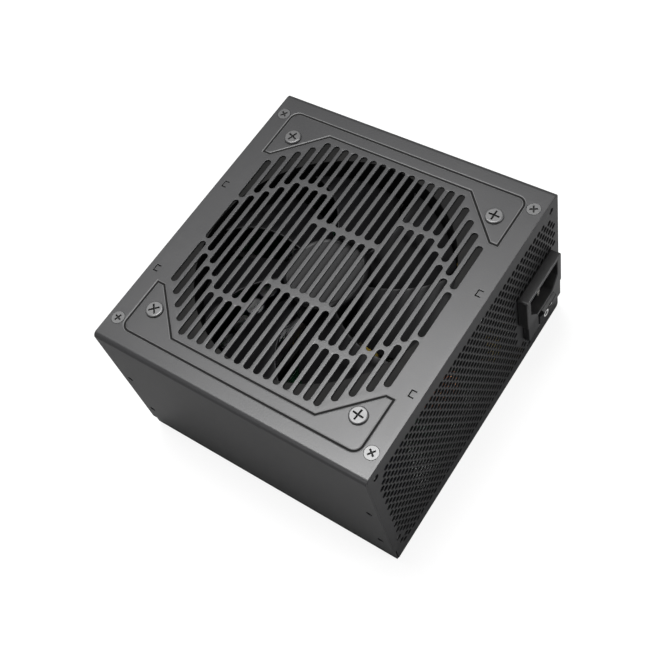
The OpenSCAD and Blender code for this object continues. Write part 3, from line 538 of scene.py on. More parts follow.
# Rows of slots: a long one in the middle and a shorter one at each side, with
# the outer rows stepped in to follow the fan.
slot_pitch, slot_wide = 0.005, 0.0032
punch_sides = 20
punch_radius = slot_wide / 2 / cos(pi / punch_sides)
for row in range(-11, 12):
    row_reach = 0.0569 - slot_pitch * max(0, abs(row) - 7)
    middle_half = 0.01625 if abs(row) < 4 else row_reach - 0.0253
    side_from = 0.0187 if abs(row) < 4 else row_reach - 0.0233
    for x0, x1 in ((-middle_half, middle_half), (side_from, row_reach), (-row_reach, -side_from)):
        stretch = (x1 - x0 - slot_wide) / 2
        centre = (x0 + x1) / 2
        mark_punch(cover_drawing, plate, centre, row * slot_pitch, punch_radius, stretch)

# The pressed outline round each side of the grille, and what it leaves inside.
groove_path = (
    [(0.0662, -0.0568), (0.0662, 0.0568)]
    + corner_arc(0.0622, 0.0568, 0.004, 0)[1:]
    + [(0.0402, 0.0608), (0.0402, 0.0572), (0.0602, 0.0370), (0.0602, -0.0370)]
    + [(0.0402, -0.0572), (0.0402, -0.0608)]
    + corner_arc(0.0622, -0.0568, 0.004, -pi / 2)[:-1]
)
groove_half, groove_flat = 0.00075, 0.0002
for path in (groove_path, [(-x, y) for x, y in reversed(groove_path)]):
    lips = [grown(path, by) for by in (groove_half, groove_flat, -groove_flat, -groove_half)]
    strips = [(plate, 0), (groove_outer, 0), (groove_outer, 1), (groove_floor, 1)]
    strips += [(groove_floor, 2), (groove_inner, 2), (groove_inner, 3), (groove_island, 3)]
    for region, lip in strips:
        draw_outline(cover_drawing, region, lips[lip], pressed=lip in (1, 2))

# Screw holes and the four small lanced marks near the ends.
cover_screw_x, cover_screw_y = 0.063, 0.0652
fan_screw_x = 0.0525
four_ways = [(x, y) for x in (-1, 1) for y in (-1, 1)]
for x, y in four_ways:
    mark_punch(cover_drawing, plate, x * cover_screw_x, y * cover_screw_y, 0.0031)
    mark_punch(cover_drawing, groove_island, x * fan_screw_x, y * fan_screw_x, 0.0025)
mark = [(-1.7, -1.2), (-1.3, -1.2), (-1.3, 0.8), (1.3, 0.8)]
mark += [(1.3, -1.2), (1.7, -1.2), (1.7, 1.2), (-1.7, 1.2)]
for x in (-0.0347, 0.0166):
    for y in (-0.0658, 0.0658):
        draw_outline(cover_drawing, plate, [(x + u / 1000, y + v / 1000) for u, v in mark])

punched_sheet = punched_sheet_tree()
cover = drawn_object(cover_drawing, "cover_blank")
give_nodes(
    cover, punched_sheet, Thickness=sheet, Punch_Sides=punch_sides, Bend_Line=bend_line,
    Bend_Radius=bend_radius, Groove_Depth=0.00045, Finish=case_paint,
)
round_edges(cover, 0.00012, sharper_than=25)
cover = finished(cover, "steel_cover", Matrix.Translation((0, 0, case_high)))
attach(cover, "case")
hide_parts("top_cover")

# ---------- mains panel ----------
# A flat sheet that closes the mains end. It is punched with a honeycomb, the
# case screw holes and one cut-out for the inlet and the switch below it.


def refinish(piece, finish):
    piece.data.materials.clear()
    piece.data.materials.append(finish)


def stands_for(piece, node, finish=None, body="case"):
    """The piece takes a CAD node's place, on its body and with its finish."""
    if finish is not None:
        refinish(piece, finish)
    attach(piece, body)
    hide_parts(node)


def add_block(shape, low, high):
    """Adds a closed block between two corners to a bmesh."""
    around = ((low[0], low[1]), (high[0], low[1]), (high[0], high[1]), (low[0], high[1]))
    corners = [shape.verts.new((x, y, z)) for z in (low[2], high[2]) for x, y in around]
    for face in ((3, 2, 1, 0), (4, 5, 6, 7), (0, 1, 5, 4), (1, 2, 6, 5), (2, 3, 7, 6), (3, 0, 4, 7)):
        shape.faces.new([corners[i] for i in face])


def add_turned(shape, profile, place=None, sides=48):
    """Adds a turned solid from its profile's radii and heights; a radius of 0 closes an end."""
    place = place or Matrix()
    spokes = [(cos(2 * pi * i / sides), sin(2 * pi * i / sides)) for i in range(sides)]
    rings = []
    for radius, height in profile:
        ends = spokes if radius else [(0, 0)]
        rings.append(
            [shape.verts.new(place @ Vector((radius * x, radius * y, height))) for x, y in ends]
        )
    for low, high in zip(rings, rings[1:]):
        for i in range(sides):
            j = (i + 1) % sides
            if len(low) == 1:
                shape.faces.new((low[0], high[j], high[i]))
            elif len(high) == 1:
                shape.faces.new((low[i], low[j], high[0]))
            else:
                shape.faces.new((low[i], low[j], high[j], high[i]))


def solid_object(shape, name, smooth=True):
    """Turns a bmesh of closed solids into an object with its faces outwards."""
    bmesh.ops.recalc_face_normals(shape, faces=shape.faces)
    if shape.calc_volume(signed=True) < 0:
        bmesh.ops.reverse_faces(shape, faces=shape.faces)
    piece = drawn_object(shape, name)
    for face in piece.data.polygons:
        face.use_smooth = smooth
    return piece


def joined(pieces, name):
    """Joins plain pieces into one mesh, with the first one's finish."""
    shape = bmesh.new()
    for piece in pieces:
        shape.from_mesh(piece.data)
    whole = drawn_object(shape, name)
    for finish in pieces[0].data.materials:
        whole.data.materials.append(finish)
    for piece in pieces:
        bpy.data.objects.remove(piece)
    return whole


def flat_panel(drawing, name, place, edge, segments=2):
    """A punched sheet that is neither bent nor pressed, set upright at its end."""
    panel = drawn_object(drawing, name)
    give_nodes(
        panel, punched_sheet, Thickness=sheet, Punch_Sides=6, Bend_Line=1.0, Bend_Radius=0.001,
        Groove_Depth=0.0, Finish=case_paint,
    )
    round_edges(panel, edge, sharper_than=40, segments=segments)
    return finished(panel, name, place)


panel_half = case_wide / 2 - sheet
panel_top = case_high - sheet
tab_deep, tab_wide = 0.0093, 0.014
foot_in, foot_high, panel_corner = 0.0012, 0.009, 0.0017
end_outline = (
    [(-panel_half + foot_in, 0), (panel_half - foot_in, 0), (panel_half - foot_in, foot_high)]
    + [(panel_half, foot_high)]
    + corner_arc(panel_half - panel_corner, panel_top - panel_corner, panel_corner, 0)
    + corner_arc(-panel_half + panel_corner, panel_top - panel_corner, panel_corner, pi / 2)
    + [(-panel_half, foot_high), (-panel_half + foot_in, foot_high)]
)


def folded_tabs(name, end, collars=()):
    """The tabs folded in from an end panel, with the collars that its screws cut into."""
    tabs = bmesh.new()
    outer, inner = sorted((end * (half_deep - sheet), end * (half_deep - tab_deep)))
    for side in (-1, 1):
        centre = side * cover_screw_x
        low = (centre - tab_wide / 2, outer, panel_top - sheet)
        add_block(tabs, low, (centre + tab_wide / 2, inner, panel_top - 0.00001))
        x0, x1 = sorted((side * panel_half, side * (panel_half - sheet)))
        add_block(tabs, (x0, outer, 0.012), (x1, inner, 0.058))
        collar_place = Matrix.Translation((centre, end * cover_screw_y, panel_top - 0.0028))
        add_turned(tabs, [(0, 0), (0.0026, 0), (0.0026, 0.002), (0, 0.002)], collar_place, 24)
    inwards = Matrix.Rotation(end * pi / 2, 4, "X")
    rim = [(0.0016, 0), (0.0026, 0), (0.0026, 0.0017), (0.0016, 0.0017), (0.0016, 0)]
    for x, z in collars:
        place = Matrix.Translation((x, end * (half_deep - sheet), z)) @ inwards
        add_turned(tabs, rim, place, 24)
    bmesh.ops.remove_doubles(tabs, verts=tabs.verts, dist=1e-7)
    return solid_object(tabs, name)


hexagon_wide, hexagon_pitch = 0.0027, 0.00365
hexagon_rise = hexagon_pitch * sin(pi / 3)
case_holes = [(-0.069, 0.080), (0.069, 0.080), (-0.069, 0.016), (0.045, 0.006)]
hole_radius = 0.0016
inlet_x, inlet_high = 0.0527, 0.0543
panel_drawing = new_drawing()
draw_outline(panel_drawing, plate, end_outline)
cut_out = [(38.6, 33.9), (48.8, 33.9), (48.8, 16.5), (63.2, 16.5)]
cut_out += [(63.2, 33.9), (66.8, 33.9), (66.8, 53.1), (38.6, 53.1)]
draw_outline(panel_drawing, plate, [(x / 1000, z / 1000) for x, z in cut_out])
for x, z in case_holes:
    angles = [2 * pi * i / 32 for i in range(32)]
    ring = [(x + hole_radius * cos(angle), z + hole_radius * sin(angle)) for angle in angles]
    draw_outline(panel_drawing, plate, ring)
for row in range(23):
    z = 0.077 - row * hexagon_rise
    for place in range(39):
        x = -0.068 + hexagon_pitch * (place + (0.5 if row % 2 == 0 else 0))
        clear = [hypot(x - hole[0], z - hole[1]) for hole in case_holes]
        clear_of_holes = min(clear[:2]) > 0.0064 and min(clear[2:]) > 0.0046
        beside = x < inlet_x - 0.017 or z > inlet_high - 0.0002 or z < 0.0152
        if x < 0.071 and z > 0.006 and beside and clear_of_holes:
            mark_punch(panel_drawing, plate, x, z, hexagon_wide / sqrt(3))
stood_up = Matrix.Rotation(pi / 2, 4, "X")
at_mains_end = Matrix.Translation((0, -half_deep, 0)) @ stood_up
mains_sheet = flat_panel(panel_drawing, "mains_blank", at_mains_end, 0.00009, segments=1)
mains_tabs = folded_tabs("mains_tabs", -1, case_holes)
stands_for(joined([mains_sheet, mains_tabs], "honeycomb_panel"), "mains_panel")

# ---------- output panel ----------
# The same sheet at the other end, with a window for each output socket and
# its latch ramp. It hooks into the cover and the tray with the same tabs.

pin_pitch = 0.0042
sockets = [("main", 12, -0.0362, 0.044)]
sockets += [("eight", 4, x, z) for z in (0.022, 0.044) for x in (0.006, 0.030, 0.054)]
sockets += [("six", 3, x, 0.022) for x in (-0.055, -0.035, -0.015)]
output_drawing = new_drawing()
draw_outline(output_drawing, plate, end_outline)
for kind, ways, x, z in sockets:
    half = ways * pin_pitch / 2 + 0.0008
    draw_box(output_drawing, plate, -x - half, -x + half, z - 0.005, z + 0.0063)
at_output_end = Matrix.Translation((0, half_deep, 0)) @ Matrix.Rotation(pi, 4, "Z") @ stood_up
output_sheet = flat_panel(output_drawing, "output_blank", at_output_end, 0.00012)
output_tabs = folded_tabs("output_tabs", 1)
stands_for(joined([output_sheet, output_tabs], "socket_panel"), "output_panel")

# ---------- floor tray ----------
# The base: a sheet with its long edges folded up inside the cover's walls,
# where a strip of it shows below the cover. A low lip runs on past the tabs.


def softened(node, name, edge, sharper_than=30, segments=2):
    """A merged copy of a CAD node with its edges rounded, for a folded or moulded piece."""
    shape = bmesh.new()
    shape.from_mesh(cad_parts[node].data)
    bmesh.ops.remove_doubles(shape, verts=shape.verts, dist=1e-6)
    bmesh.ops.dissolve_limit(
        shape, angle_limit=radians(0.5), verts=shape.verts, edges=shape.edges
    )
    piece = solid_object(shape, node + "_merged")
    round_edges(piece, edge, sharper_than, segments)
    return finished(piece, name)


def rebuilt(node, name, finish, edge, slot=None, body="case", **edges):
    """A softened copy takes its CAD node's place, on its body and with its finish; the slot argument
    is not used.
    """
    slot = slot or finish.name.split(".")[0]
    stands_for(softened(node, name, edge, **edges), node, finish, body)


tray_bend, flange_stop, lip_high = 0.0012, 0.0595, 0.0088
lip_outline = corner_arc(panel_half - tray_bend, tray_bend, tray_bend, -pi / 2)
lip_outline += [(panel_half, lip_high), (panel_half - sheet, lip_high)]
lip_outline += corner_arc(panel_half - tray_bend, tray_bend, tray_bend - sheet, -pi / 2)[::-1]
lips = bmesh.new()
for side, end in four_ways:
    near, far = (
        [lips.verts.new((side * x, end * y, z)) for x, z in lip_outline]
        for y in (flange_stop - 0.0001, half_deep - 0.0002)
    )
    lips.faces.new(near)
    lips.faces.new(far)
    for i in range(len(near)):
        lips.faces.new((near[i - 1], near[i], far[i], far[i - 1]))
tray_floor = softened("floor_tray", "tray_floor", 0.00012)
tray_lips = solid_object(lips, "tray_lips", smooth=False)
floor_tray = joined([tray_floor, tray_lips], "folded_floor")
stands_for(floor_tray, "floor_tray", case_paint)

# ---------- screws ----------
# Eight cross-recess steel screws in a black coat: four sit flush and hold
# the cover to the end panels, and four with low domed heads hold the fan.

# Painted shade: the bottoms of the cross recesses turn near black; the lip colour is the coat's own,
# so no lip highlight.
screw_steel = coated(
    "screw_steel", (0.03, 0.03, 0.031), (0.2, 0.2, 0.2), 2600.0, 0.42, 0.05, 0.2, 0.3, 0.02,
    lip=(0.03, 0.03, 0.031), Specular_IOR_Level=1.0,
)


def pieces_at_points_tree():
    """Nodes that set one piece on each point, each turned by a fixed random angle."""
    nodes, given, made = new_tree(
        "pieces_at_points",
        {
            "Geometry": ["Places"], "Object": ["Piece"], "Float": ["Turn Spread"],
            "Int": ["Seed"], "Material": ["Finish"],
        },
        {"Geometry": ["Pieces"]},
        "GeometryNodeTree",
    )
    pattern = nodes.add("GeometryNodeObjectInfo", Object=given["Piece"])["Geometry"]
    turned_by = nodes.add(
        "FunctionNodeRandomValue",
        None, None, 0.0, given["Turn Spread"], Seed=given["Seed"], data_type="FLOAT",
    )[1]
    about_z = nodes.add("ShaderNodeCombineXYZ", Z=turned_by)[0]
    placed = nodes.add(
        "GeometryNodeInstanceOnPoints", Points=given["Places"], Instance=pattern, Rotation=about_z
    )[0]
    return finish_tree(nodes, made, placed, given["Finish"], smooth=False)


pieces_at_points = pieces_at_points_tree()
any_turn = 6.28


def set_out(name, pattern, places, finish, turn_spread=0.0, seed=1, place=None):
    """Puts a copy of the pattern on each place and returns them as one plain mesh."""
    points = bpy.data.meshes.new(name)
    points.from_pydata(places, [], [])
    row = new_object(name, points)
    give_nodes(
        row, pieces_at_points, Piece=pattern, Turn_Spread=turn_spread, Seed=seed, Finish=finish
    )
    row = finished(row, name, place)
    bpy.data.objects.remove(pattern)
    return row


def cross_head(name, profile, span, wide, deep, sides=32):
    """A turned solid whose flat top has a tapered cross recess."""
    shape = bmesh.new()
    sunk = shape.faces.layers.float.new("sunk")
    add_turned(shape, profile, sides=sides)
    rim = list(shape.verts)[-sides:]
    rim_edges = [edge for edge in shape.edges if edge.verts[0] in rim and edge.verts[1] in rim]
    top = profile[-1][1]
    s, w = span / 2, wide / 2
    plus = [(s, -w), (s, w), (w, w), (w, s), (-w, s), (-w, w)]
    plus += [(-x, -y) for x, y in plus]
    upper = [shape.verts.new((x, y, top)) for x, y in plus]
    lower = []
    for x, y in plus:
        inward = 0.8 if abs(x) > w or abs(y) > w else 0.9
        lower.append(shape.verts.new((x * inward, y * inward, top - deep)))
    upper_edges = [shape.edges.new(ends) for ends in zip(upper, upper[1:] + upper[:1])]
    bmesh.ops.triangle_fill(shape, use_beauty=True, edges=rim_edges + upper_edges)
    # The recess faces carry the sunk mark, which a coat with a lip colour turns into painted shade.
    middle = shape.verts.new((0, 0, top - deep))
    for i in range(12):
        j = (i + 1) % 12
        shape.faces.new((upper[i], upper[j], lower[j], lower[i]))[sunk] = 1.0
        shape.faces.new((lower[i], lower[j], middle))[sunk] = 1.0
    piece = solid_object(shape, name)
    recess = piece.data.attributes["sunk"].data
    for face in piece.data.polygons:
        on_side = face.center.z < top - deep * 1.1 or abs(face.normal.z) < 0.999
        face.use_smooth = on_side and recess[face.index].value <= 0.5
    return finished(piece, name)


countersunk = cross_head(
    "countersunk_screw",
    [(0, -0.005), (0.0015, -0.005), (0.0015, -0.0015), (0.00285, -0.00018), (0.003, -0.00008),
     (0.00298, 0.0), (0.00294, 0.0)],
    span=0.0036, wide=0.0008, deep=0.0007,
)
places = [(x * cover_screw_x, y * cover_screw_y, case_high) for x, y in four_ways]
cover_screws = set_out("cover_screws_set", countersunk, places, screw_steel, any_turn, 3)
stands_for(cover_screws, "cover_screws")

domed = cross_head(
    "domed_screw",
    [(0, -0.009), (0.0022, -0.009), (0.0022, -0.0004), (0.0022, 0.00002), (0.0039, 0.00002),
     (0.004, 0.00012), (0.004, 0.0006), (0.00395, 0.00085), (0.0038, 0.00105), (0.00355, 0.00117),
     (0.0033, 0.0012)],
    span=0.0051, wide=0.00085, deep=0.0011,
)
places = [(x * fan_screw_x, y * fan_screw_x, case_high) for x, y in four_ways]
fan_screws = set_out("fan_screws_set", domed, places, screw_steel, any_turn, 8)
stands_for(fan_screws, "fan_screws")

# ---------- fan frame ----------
# A glass-filled nylon frame: a round duct between two square flanges, with a
# cup for the motor on four struts. The four domed screws pass through it.

frame_plastic = coated(
    "frame_plastic", (0.004, 0.004, 0.004), (0.012, 0.012, 0.012), 1100.0, 0.65, 0.1, 0.3, 0.1, 0.02,
    Specular_IOR_Level=0.1,
)
rebuilt("fan_frame", "fan_duct", frame_plastic, 0.0003, sharper_than=40)

# ---------- fan rotor ----------
# One moulding of satin black plastic: a round hub that hides the motor and
# seven wide blades that are swept forwards and twisted from root to tip.

fan_low = case_high - sheet - 0.025
hub_radius, tip_radius = 0.01875, 0.0552
hub_low, hub_high = fan_low + 0.0046, fan_low + 0.020


def plain(
    nodes, shader, color, dust, scale, roughness, spread, height=None, strength=0.0, depth=0.0001
):
    """Dust, grain and a bump on a colour; the grain is the bump unless a height is given."""
    grain = use_group(nodes, grain_group, Scale=scale, Roughness=roughness, Spread=spread)
    dusted = use_group(nodes, dust_group, Color=color, Amount=dust)["Color"]
    link_shader(
        nodes, shader, dusted, grain["Roughness"], height or grain["Height"], strength, depth
    )


blade_plastic, nodes, shader = new_finish("blade_plastic", Specular_IOR_Level=0.17)
plain(nodes, shader, (0.004, 0.004, 0.0045), 0.01, 600.0, 0.42, 0.1, strength=0.1)


def fan_blades_tree():
    """Nodes that shape one blade from a grid, thicken it and set it round the hub."""
    nodes, given, made = new_tree(
        "fan_blades",
        {
            "Float": ["Hub Radius", "Tip Radius", "Root Chord", "Tip Chord", "Root Pitch",
                      "Tip Pitch", "Sweep", "Camber", "Thickness", "Height"],
            "Int": ["Blades"],
            "Material": ["Finish"],
        },
        {"Geometry": ["Blades"]},
        "GeometryNodeTree",
    )
    add, value = nodes.add, nodes.number

    def between(low, high, share):
        return value("MULTIPLY_ADD", value("SUBTRACT", high, low), share, low)

    grid = add("GeometryNodeMeshGrid", Size_X=1.0, Size_Y=1.0, Vertices_X=22, Vertices_Y=26)[0]
    at = add("ShaderNodeSeparateXYZ", add("GeometryNodeInputPosition")[0])
    along, across = value("ADD", at["X"], 0.5), at["Y"]
    root = value("SUBTRACT", given["Hub Radius"], 0.0005)
    radius = between(root, given["Tip Radius"], along)
    chord = between(given["Root Chord"], given["Tip Chord"], value("POWER", along, 0.8))
    pitch = between(given["Root Pitch"], given["Tip Pitch"], along)
    swept = value("MULTIPLY", given["Sweep"], value("POWER", along, 1.6))
    on_chord = value("MULTIPLY", across, chord)
    hollow = value("SUBTRACT", 0.25, value("MULTIPLY", across, across))
    bow = value("MULTIPLY", value("MULTIPLY", given["Camber"], hollow), chord)
    sideways = value("MULTIPLY", on_chord, value("COSINE", pitch))
    rise = value("ADD", value("MULTIPLY", on_chord, value("SINE", pitch)), bow)
    angle = value("ADD", swept, value("DIVIDE", sideways, radius))
    shaped = add(
        "ShaderNodeCombineXYZ",
        value("MULTIPLY", radius, value("COSINE", angle)),
        value("MULTIPLY", radius, value("SINE", angle)),
        value("ADD", rise, given["Height"]),
    )[0]
    blade = add("GeometryNodeSetPosition", Geometry=grid, Position=shaped)[0]
    thick = add(
        "GeometryNodeExtrudeMesh",
        Mesh=blade, Offset_Scale=given["Thickness"], Individual=False, mode="FACES",
    )[0]
    closed = merged(nodes, thick, add("GeometryNodeFlipFaces", blade)[0])
    hub_point = add("GeometryNodeMeshLine", Count=given["Blades"], Offset=(0, 0, 0))[0]
    step = value("DIVIDE", 2 * pi, given["Blades"])
    number = add("GeometryNodeInputIndex")[0]
    about = add("ShaderNodeCombineXYZ", Z=value("MULTIPLY", number, step))[0]
    placed = add(
        "GeometryNodeInstanceOnPoints", Points=hub_point, Instance=closed, Rotation=about
    )[0]
    return finish_tree(nodes, made, placed, given["Finish"])


blades = drawn_object(bmesh.new(), "blade_seed")
give_nodes(
    blades, fan_blades_tree(), Hub_Radius=hub_radius, Tip_Radius=tip_radius, Root_Chord=0.0175,
    Tip_Chord=0.0400, Root_Pitch=radians(40), Tip_Pitch=radians(17), Sweep=radians(20),
    Camber=0.12, Thickness=0.0011, Height=fan_low + 0.0112, Blades=7, Finish=blade_plastic,
)
round_edges(blades, 0.0004, sharper_than=50)
blades = finished(blades, "swept_blades")
stands_for(blades, "fan_rotor", body="rotor")

# The hub's outer rings are given by how far they lie inside its radius and top.
hub_skin, dish_deep = 0.0015, 0.00025
hub_profile = [(0, hub_high - hub_skin), (hub_radius - hub_skin, hub_high - hub_skin)]
hub_profile += [(hub_radius - hub_skin, hub_low), (hub_radius, hub_low)]
rounded = [(0, 16), (1, 11), (4, 6), (9, 2), (16, 0)]
hub_profile += [(hub_radius - u / 10000, hub_high - v / 10000) for u, v in rounded]
hub_profile += [(0.0172, hub_high), (0.0160, hub_high), (0.0157, hub_high - dish_deep)]
hub_profile += [(0, hub_high - dish_deep)]
hub_shape = bmesh.new()
add_turned(hub_shape, hub_profile, sides=72)
hub = solid_object(hub_shape, "hub_shape")
hub.data.materials.append(blade_plastic)
round_edges(hub, 0.0001, sharper_than=50, segments=1)
hub = finished(hub, "rotor_hub")
stands_for(hub, "fan_rotor", body="rotor")

# ---------- fan motor ----------
# Inside the hub: a rolled steel yoke with its ring magnet, and on the frame's
# tube the bronze bearing, the laminated core with four coils and its circuit.


def metal(name, color, roughness, spread, grain_scale=1800.0, bump=0.2, streaks=(1, 1, 1)):
    """A bare metal; streaks stretch its grain along one axis, as rolling and drawing do."""
    finish, nodes, shader = new_finish(name, Metallic=1.0)
    laid = nodes.add("ShaderNodeMapping", Vector=nodes.where(), Scale=streaks)[0]
    lines = nodes.noise(grain_scale, 3.0, at=laid)
    rough = nodes.remap(lines, 0.0, 1.0, roughness - spread, roughness + spread)
    dark, light = [c * 0.75 for c in color], [min(1, c * 1.15) for c in color]
    tint = nodes.blend(lines, dark, light)
    dusted = use_group(nodes, dust_group, Color=tint, Amount=0.1)["Color"]
    link_shader(nodes, shader, dusted, rough, lines, bump, 0.00005)
    return finish


steel = metal("steel", (0.5, 0.5, 0.51), 0.34, 0.1, 1500.0, 0.2, (1, 1, 0.05))
ferrite = coated("ferrite", (0.03, 0.03, 0.032), (0.1, 0.1, 0.1), 2400.0, 0.5, 0.2, 0.5, 0.3, 0.1)
bronze = metal("bronze", (0.6, 0.4, 0.2), 0.45, 0.1, 2500.0, 0.4)
rebuilt("rotor_yoke", "rolled_yoke", steel, 0.00015, body="rotor")
rebuilt("rotor_magnet", "ring_magnet", ferrite, 0.00015, body="rotor")
rebuilt("fan_shaft", "ground_shaft", steel, 0.00015, body="rotor")
rebuilt("bearing_sleeve", "bronze_bearing", bronze, 0.0001)
rebuilt("stator_core", "stacked_core", steel, 0.0001)
white_plastic = coated(
    "white_plastic", (0.72, 0.71, 0.66), (0.8, 0.8, 0.78), 900.0, 0.42, 0.1, 0.15, 0.2, 0.1
)
refinish(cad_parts["shaft_clip"], white_plastic)

# Enamelled wire: a tarnished copper under a clear coat.
copper, nodes, shader = new_finish("copper", Metallic=1.0, Coat_Weight=0.6, Coat_Roughness=0.2)
tarnish = nodes.noise(300.0)
copper_color = nodes.blend(tarnish, (0.42, 0.12, 0.04), (0.75, 0.3, 0.12))
link_shader(nodes, shader, copper_color, nodes.remap(tarnish, 0.0, 1.0, 0.22, 0.4))


def wound_wire_tree():
    """Nodes that wind a round wire about a ring core of square section."""
    nodes, given, made = new_tree(
        "wound_wire",
        {
            "Float": ["Core Inner Radius", "Core Outer Radius", "Core Low", "Core Height",
                      "Wire Thickness", "Start Angle", "Sweep Angle", "Centre X", "Centre Y"],
            "Int": ["Turns"],
            "Material": ["Finish"],
        },
        {"Geometry": ["Winding"]},
        "GeometryNodeTree",
    )
    add, value = nodes.add, nodes.number
    steps = value("ADD", value("MULTIPLY", given["Turns"], 12.0), 1.0)
    line = add("GeometryNodeMeshLine", Count=steps, Offset=(0, 0, 0.001))[0]
    number = add("GeometryNodeInputIndex")[0]
    share = value("DIVIDE", number, value("SUBTRACT", steps, 1.0))
    coil_turn = value("MULTIPLY", value("DIVIDE", number, 12.0), 2 * pi)
    side, over = value("COSINE", coil_turn), value("SINE", coil_turn)
    squared = value("MAXIMUM", value("ABSOLUTE", side), value("ABSOLUTE", over))
    half_wire = value("MULTIPLY", given["Wire Thickness"], 0.5)
    inner, outer = given["Core Inner Radius"], given["Core Outer Radius"]
    mid_radius = value("MULTIPLY", value("ADD", inner, outer), 0.5)
    half_core = value("MULTIPLY", value("SUBTRACT", outer, inner), 0.5)
    half_width = value("ADD", half_core, half_wire)
    half_core_high = value("MULTIPLY", given["Core Height"], 0.5)
    half_height = value("ADD", half_core_high, half_wire)
    aside = value("MULTIPLY", half_width, value("DIVIDE", side, squared))
    radius = value("ADD", mid_radius, aside)
    lift = value("MULTIPLY", half_height, value("DIVIDE", over, squared))
    height = value("ADD", value("ADD", given["Core Low"], half_core_high), lift)
    angle = value("ADD", given["Start Angle"], value("MULTIPLY", given["Sweep Angle"], share))
    place = add(
        "ShaderNodeCombineXYZ",
        value("ADD", given["Centre X"], value("MULTIPLY", radius, value("COSINE", angle))),
        value("ADD", given["Centre Y"], value("MULTIPLY", radius, value("SINE", angle))),
        height,
    )[0]
    path = add("GeometryNodeSetPosition", Geometry=line, Position=place)[0]
    curve = add("GeometryNodeMeshToCurve", path)[0]
    wire_radius = value("MULTIPLY", half_wire, 0.94)
    section = add("GeometryNodeCurvePrimitiveCircle", Resolution=8, Radius=wire_radius)[0]
    wire = add("GeometryNodeCurveToMesh", Curve=curve, Profile_Curve=section, Fill_Caps=True)[0]
    return finish_tree(nodes, made, wire, given["Finish"])


wound_wire = wound_wire_tree()


def winding(name, core, low, centre, spans, wire):
    """Windings on one ring core, given its radii and height and the angles they cover."""
    parts = []
    for start, sweep in spans:
        coil = drawn_object(bmesh.new(), name + "_seed")
        inner_turn = (core[0] - wire / 2) * radians(sweep)
        give_nodes(
            coil, wound_wire, Core_Inner_Radius=core[0], Core_Outer_Radius=core[1], Core_Low=low,
            Core_Height=core[2], Wire_Thickness=wire, Turns=max(3, int(inner_turn / wire)),
            Start_Angle=radians(start + 4), Sweep_Angle=radians(sweep - 8), Centre_X=centre[0],
            Centre_Y=centre[1], Finish=copper,
        )
        parts.append(finished(coil, name + "_part"))
    return joined(parts, name)


rebuilt("stator_coils", "fan_coils", copper, 0.0008)

# ---------- fan lead ----------
# Two twisted wires from the fan's circuit: out along a strut, over the duct's
# edge and down to a white plug on the main board's header.

fan_circuit = coated(
    "fan_circuit_board", (0.02, 0.09, 0.04), (0.1, 0.2, 0.1), 700.0, 0.3, 0.2, 0.1, 0.2, 0.1
)
refinish(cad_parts["fan_circuit"], fan_circuit)
cable_black = coated(
    "cable_black", (0.012, 0.012, 0.012), (0.04, 0.04, 0.04), 1300.0, 0.4, 0.1, 0.2, 0.2, 0.2
)


def twisted_lead_tree():
    """Nodes that twist two wires round a path."""
    nodes, given, made = new_tree(
        "twisted_lead",
        {
            "Geometry": ["Path"],
            "Float": ["Wire Radius", "Twist Radius", "Twist Length"],
            "Material": ["Finish"],
        },
        {"Geometry": ["Lead"]},
        "GeometryNodeTree",
    )
    add, value = nodes.add, nodes.number
    twist = given["Twist Length"]
    curve = add("GeometryNodeMeshToCurve", given["Path"])[0]
    even = add(
        "GeometryNodeResampleCurve", Curve=curve, Length=value("DIVIDE", twist, 8.0), mode="LENGTH"
    )[0]
    along = add("GeometryNodeSplineParameter")["Length"]
    about = value("MULTIPLY", value("DIVIDE", along, twist), 2 * pi)
    normal = add("GeometryNodeInputNormal")[0]
    tangent = add("GeometryNodeInputTangent")[0]
    section = add("GeometryNodeCurvePrimitiveCircle", Resolution=10, Radius=given["Wire Radius"])[0]
    lead = nodes.tree.nodes.new("GeometryNodeJoinGeometry")
    for phase in (0.0, pi):
        turned_normal = add(
            "ShaderNodeVectorRotate", Vector=normal, Axis=tangent,
            Angle=value("ADD", about, phase), rotation_type="AXIS_ANGLE",
        )[0]
        aside = add(
            "ShaderNodeVectorMath", turned_normal, Scale=given["Twist Radius"], operation="SCALE"
        )[0]
        strand = add("GeometryNodeSetPosition", Geometry=even, Offset=aside)[0]
        tube = add(
            "GeometryNodeCurveToMesh", Curve=strand, Profile_Curve=section, Fill_Caps=True
        )[0]
        nodes.join(tube, lead.inputs[0])
    return finish_tree(nodes, made, lead.outputs[0], given["Finish"])


lead_low = fan_low + 0.0030
lead_points = [
    (0.008, 0, lead_low), (0.019, 0, lead_low), (0.027, 0, lead_low - 0.0004),
    (0.050, 0, lead_low - 0.0005), (0.060, 0, lead_low - 0.0005), (0.063, 0.001, fan_low),
    (0.066, 0.004, fan_low - 0.008), (0.066, 0.012, 0.038), (0.066, 0.016, 0.025),
    (0.066, 0.016, 0.020), (0.066, 0.016, 0.0166),
]
lead_path = [Vector(point) for point in lead_points]
padded = lead_path[:1] + lead_path + lead_path[-1:]
smooth_path = []
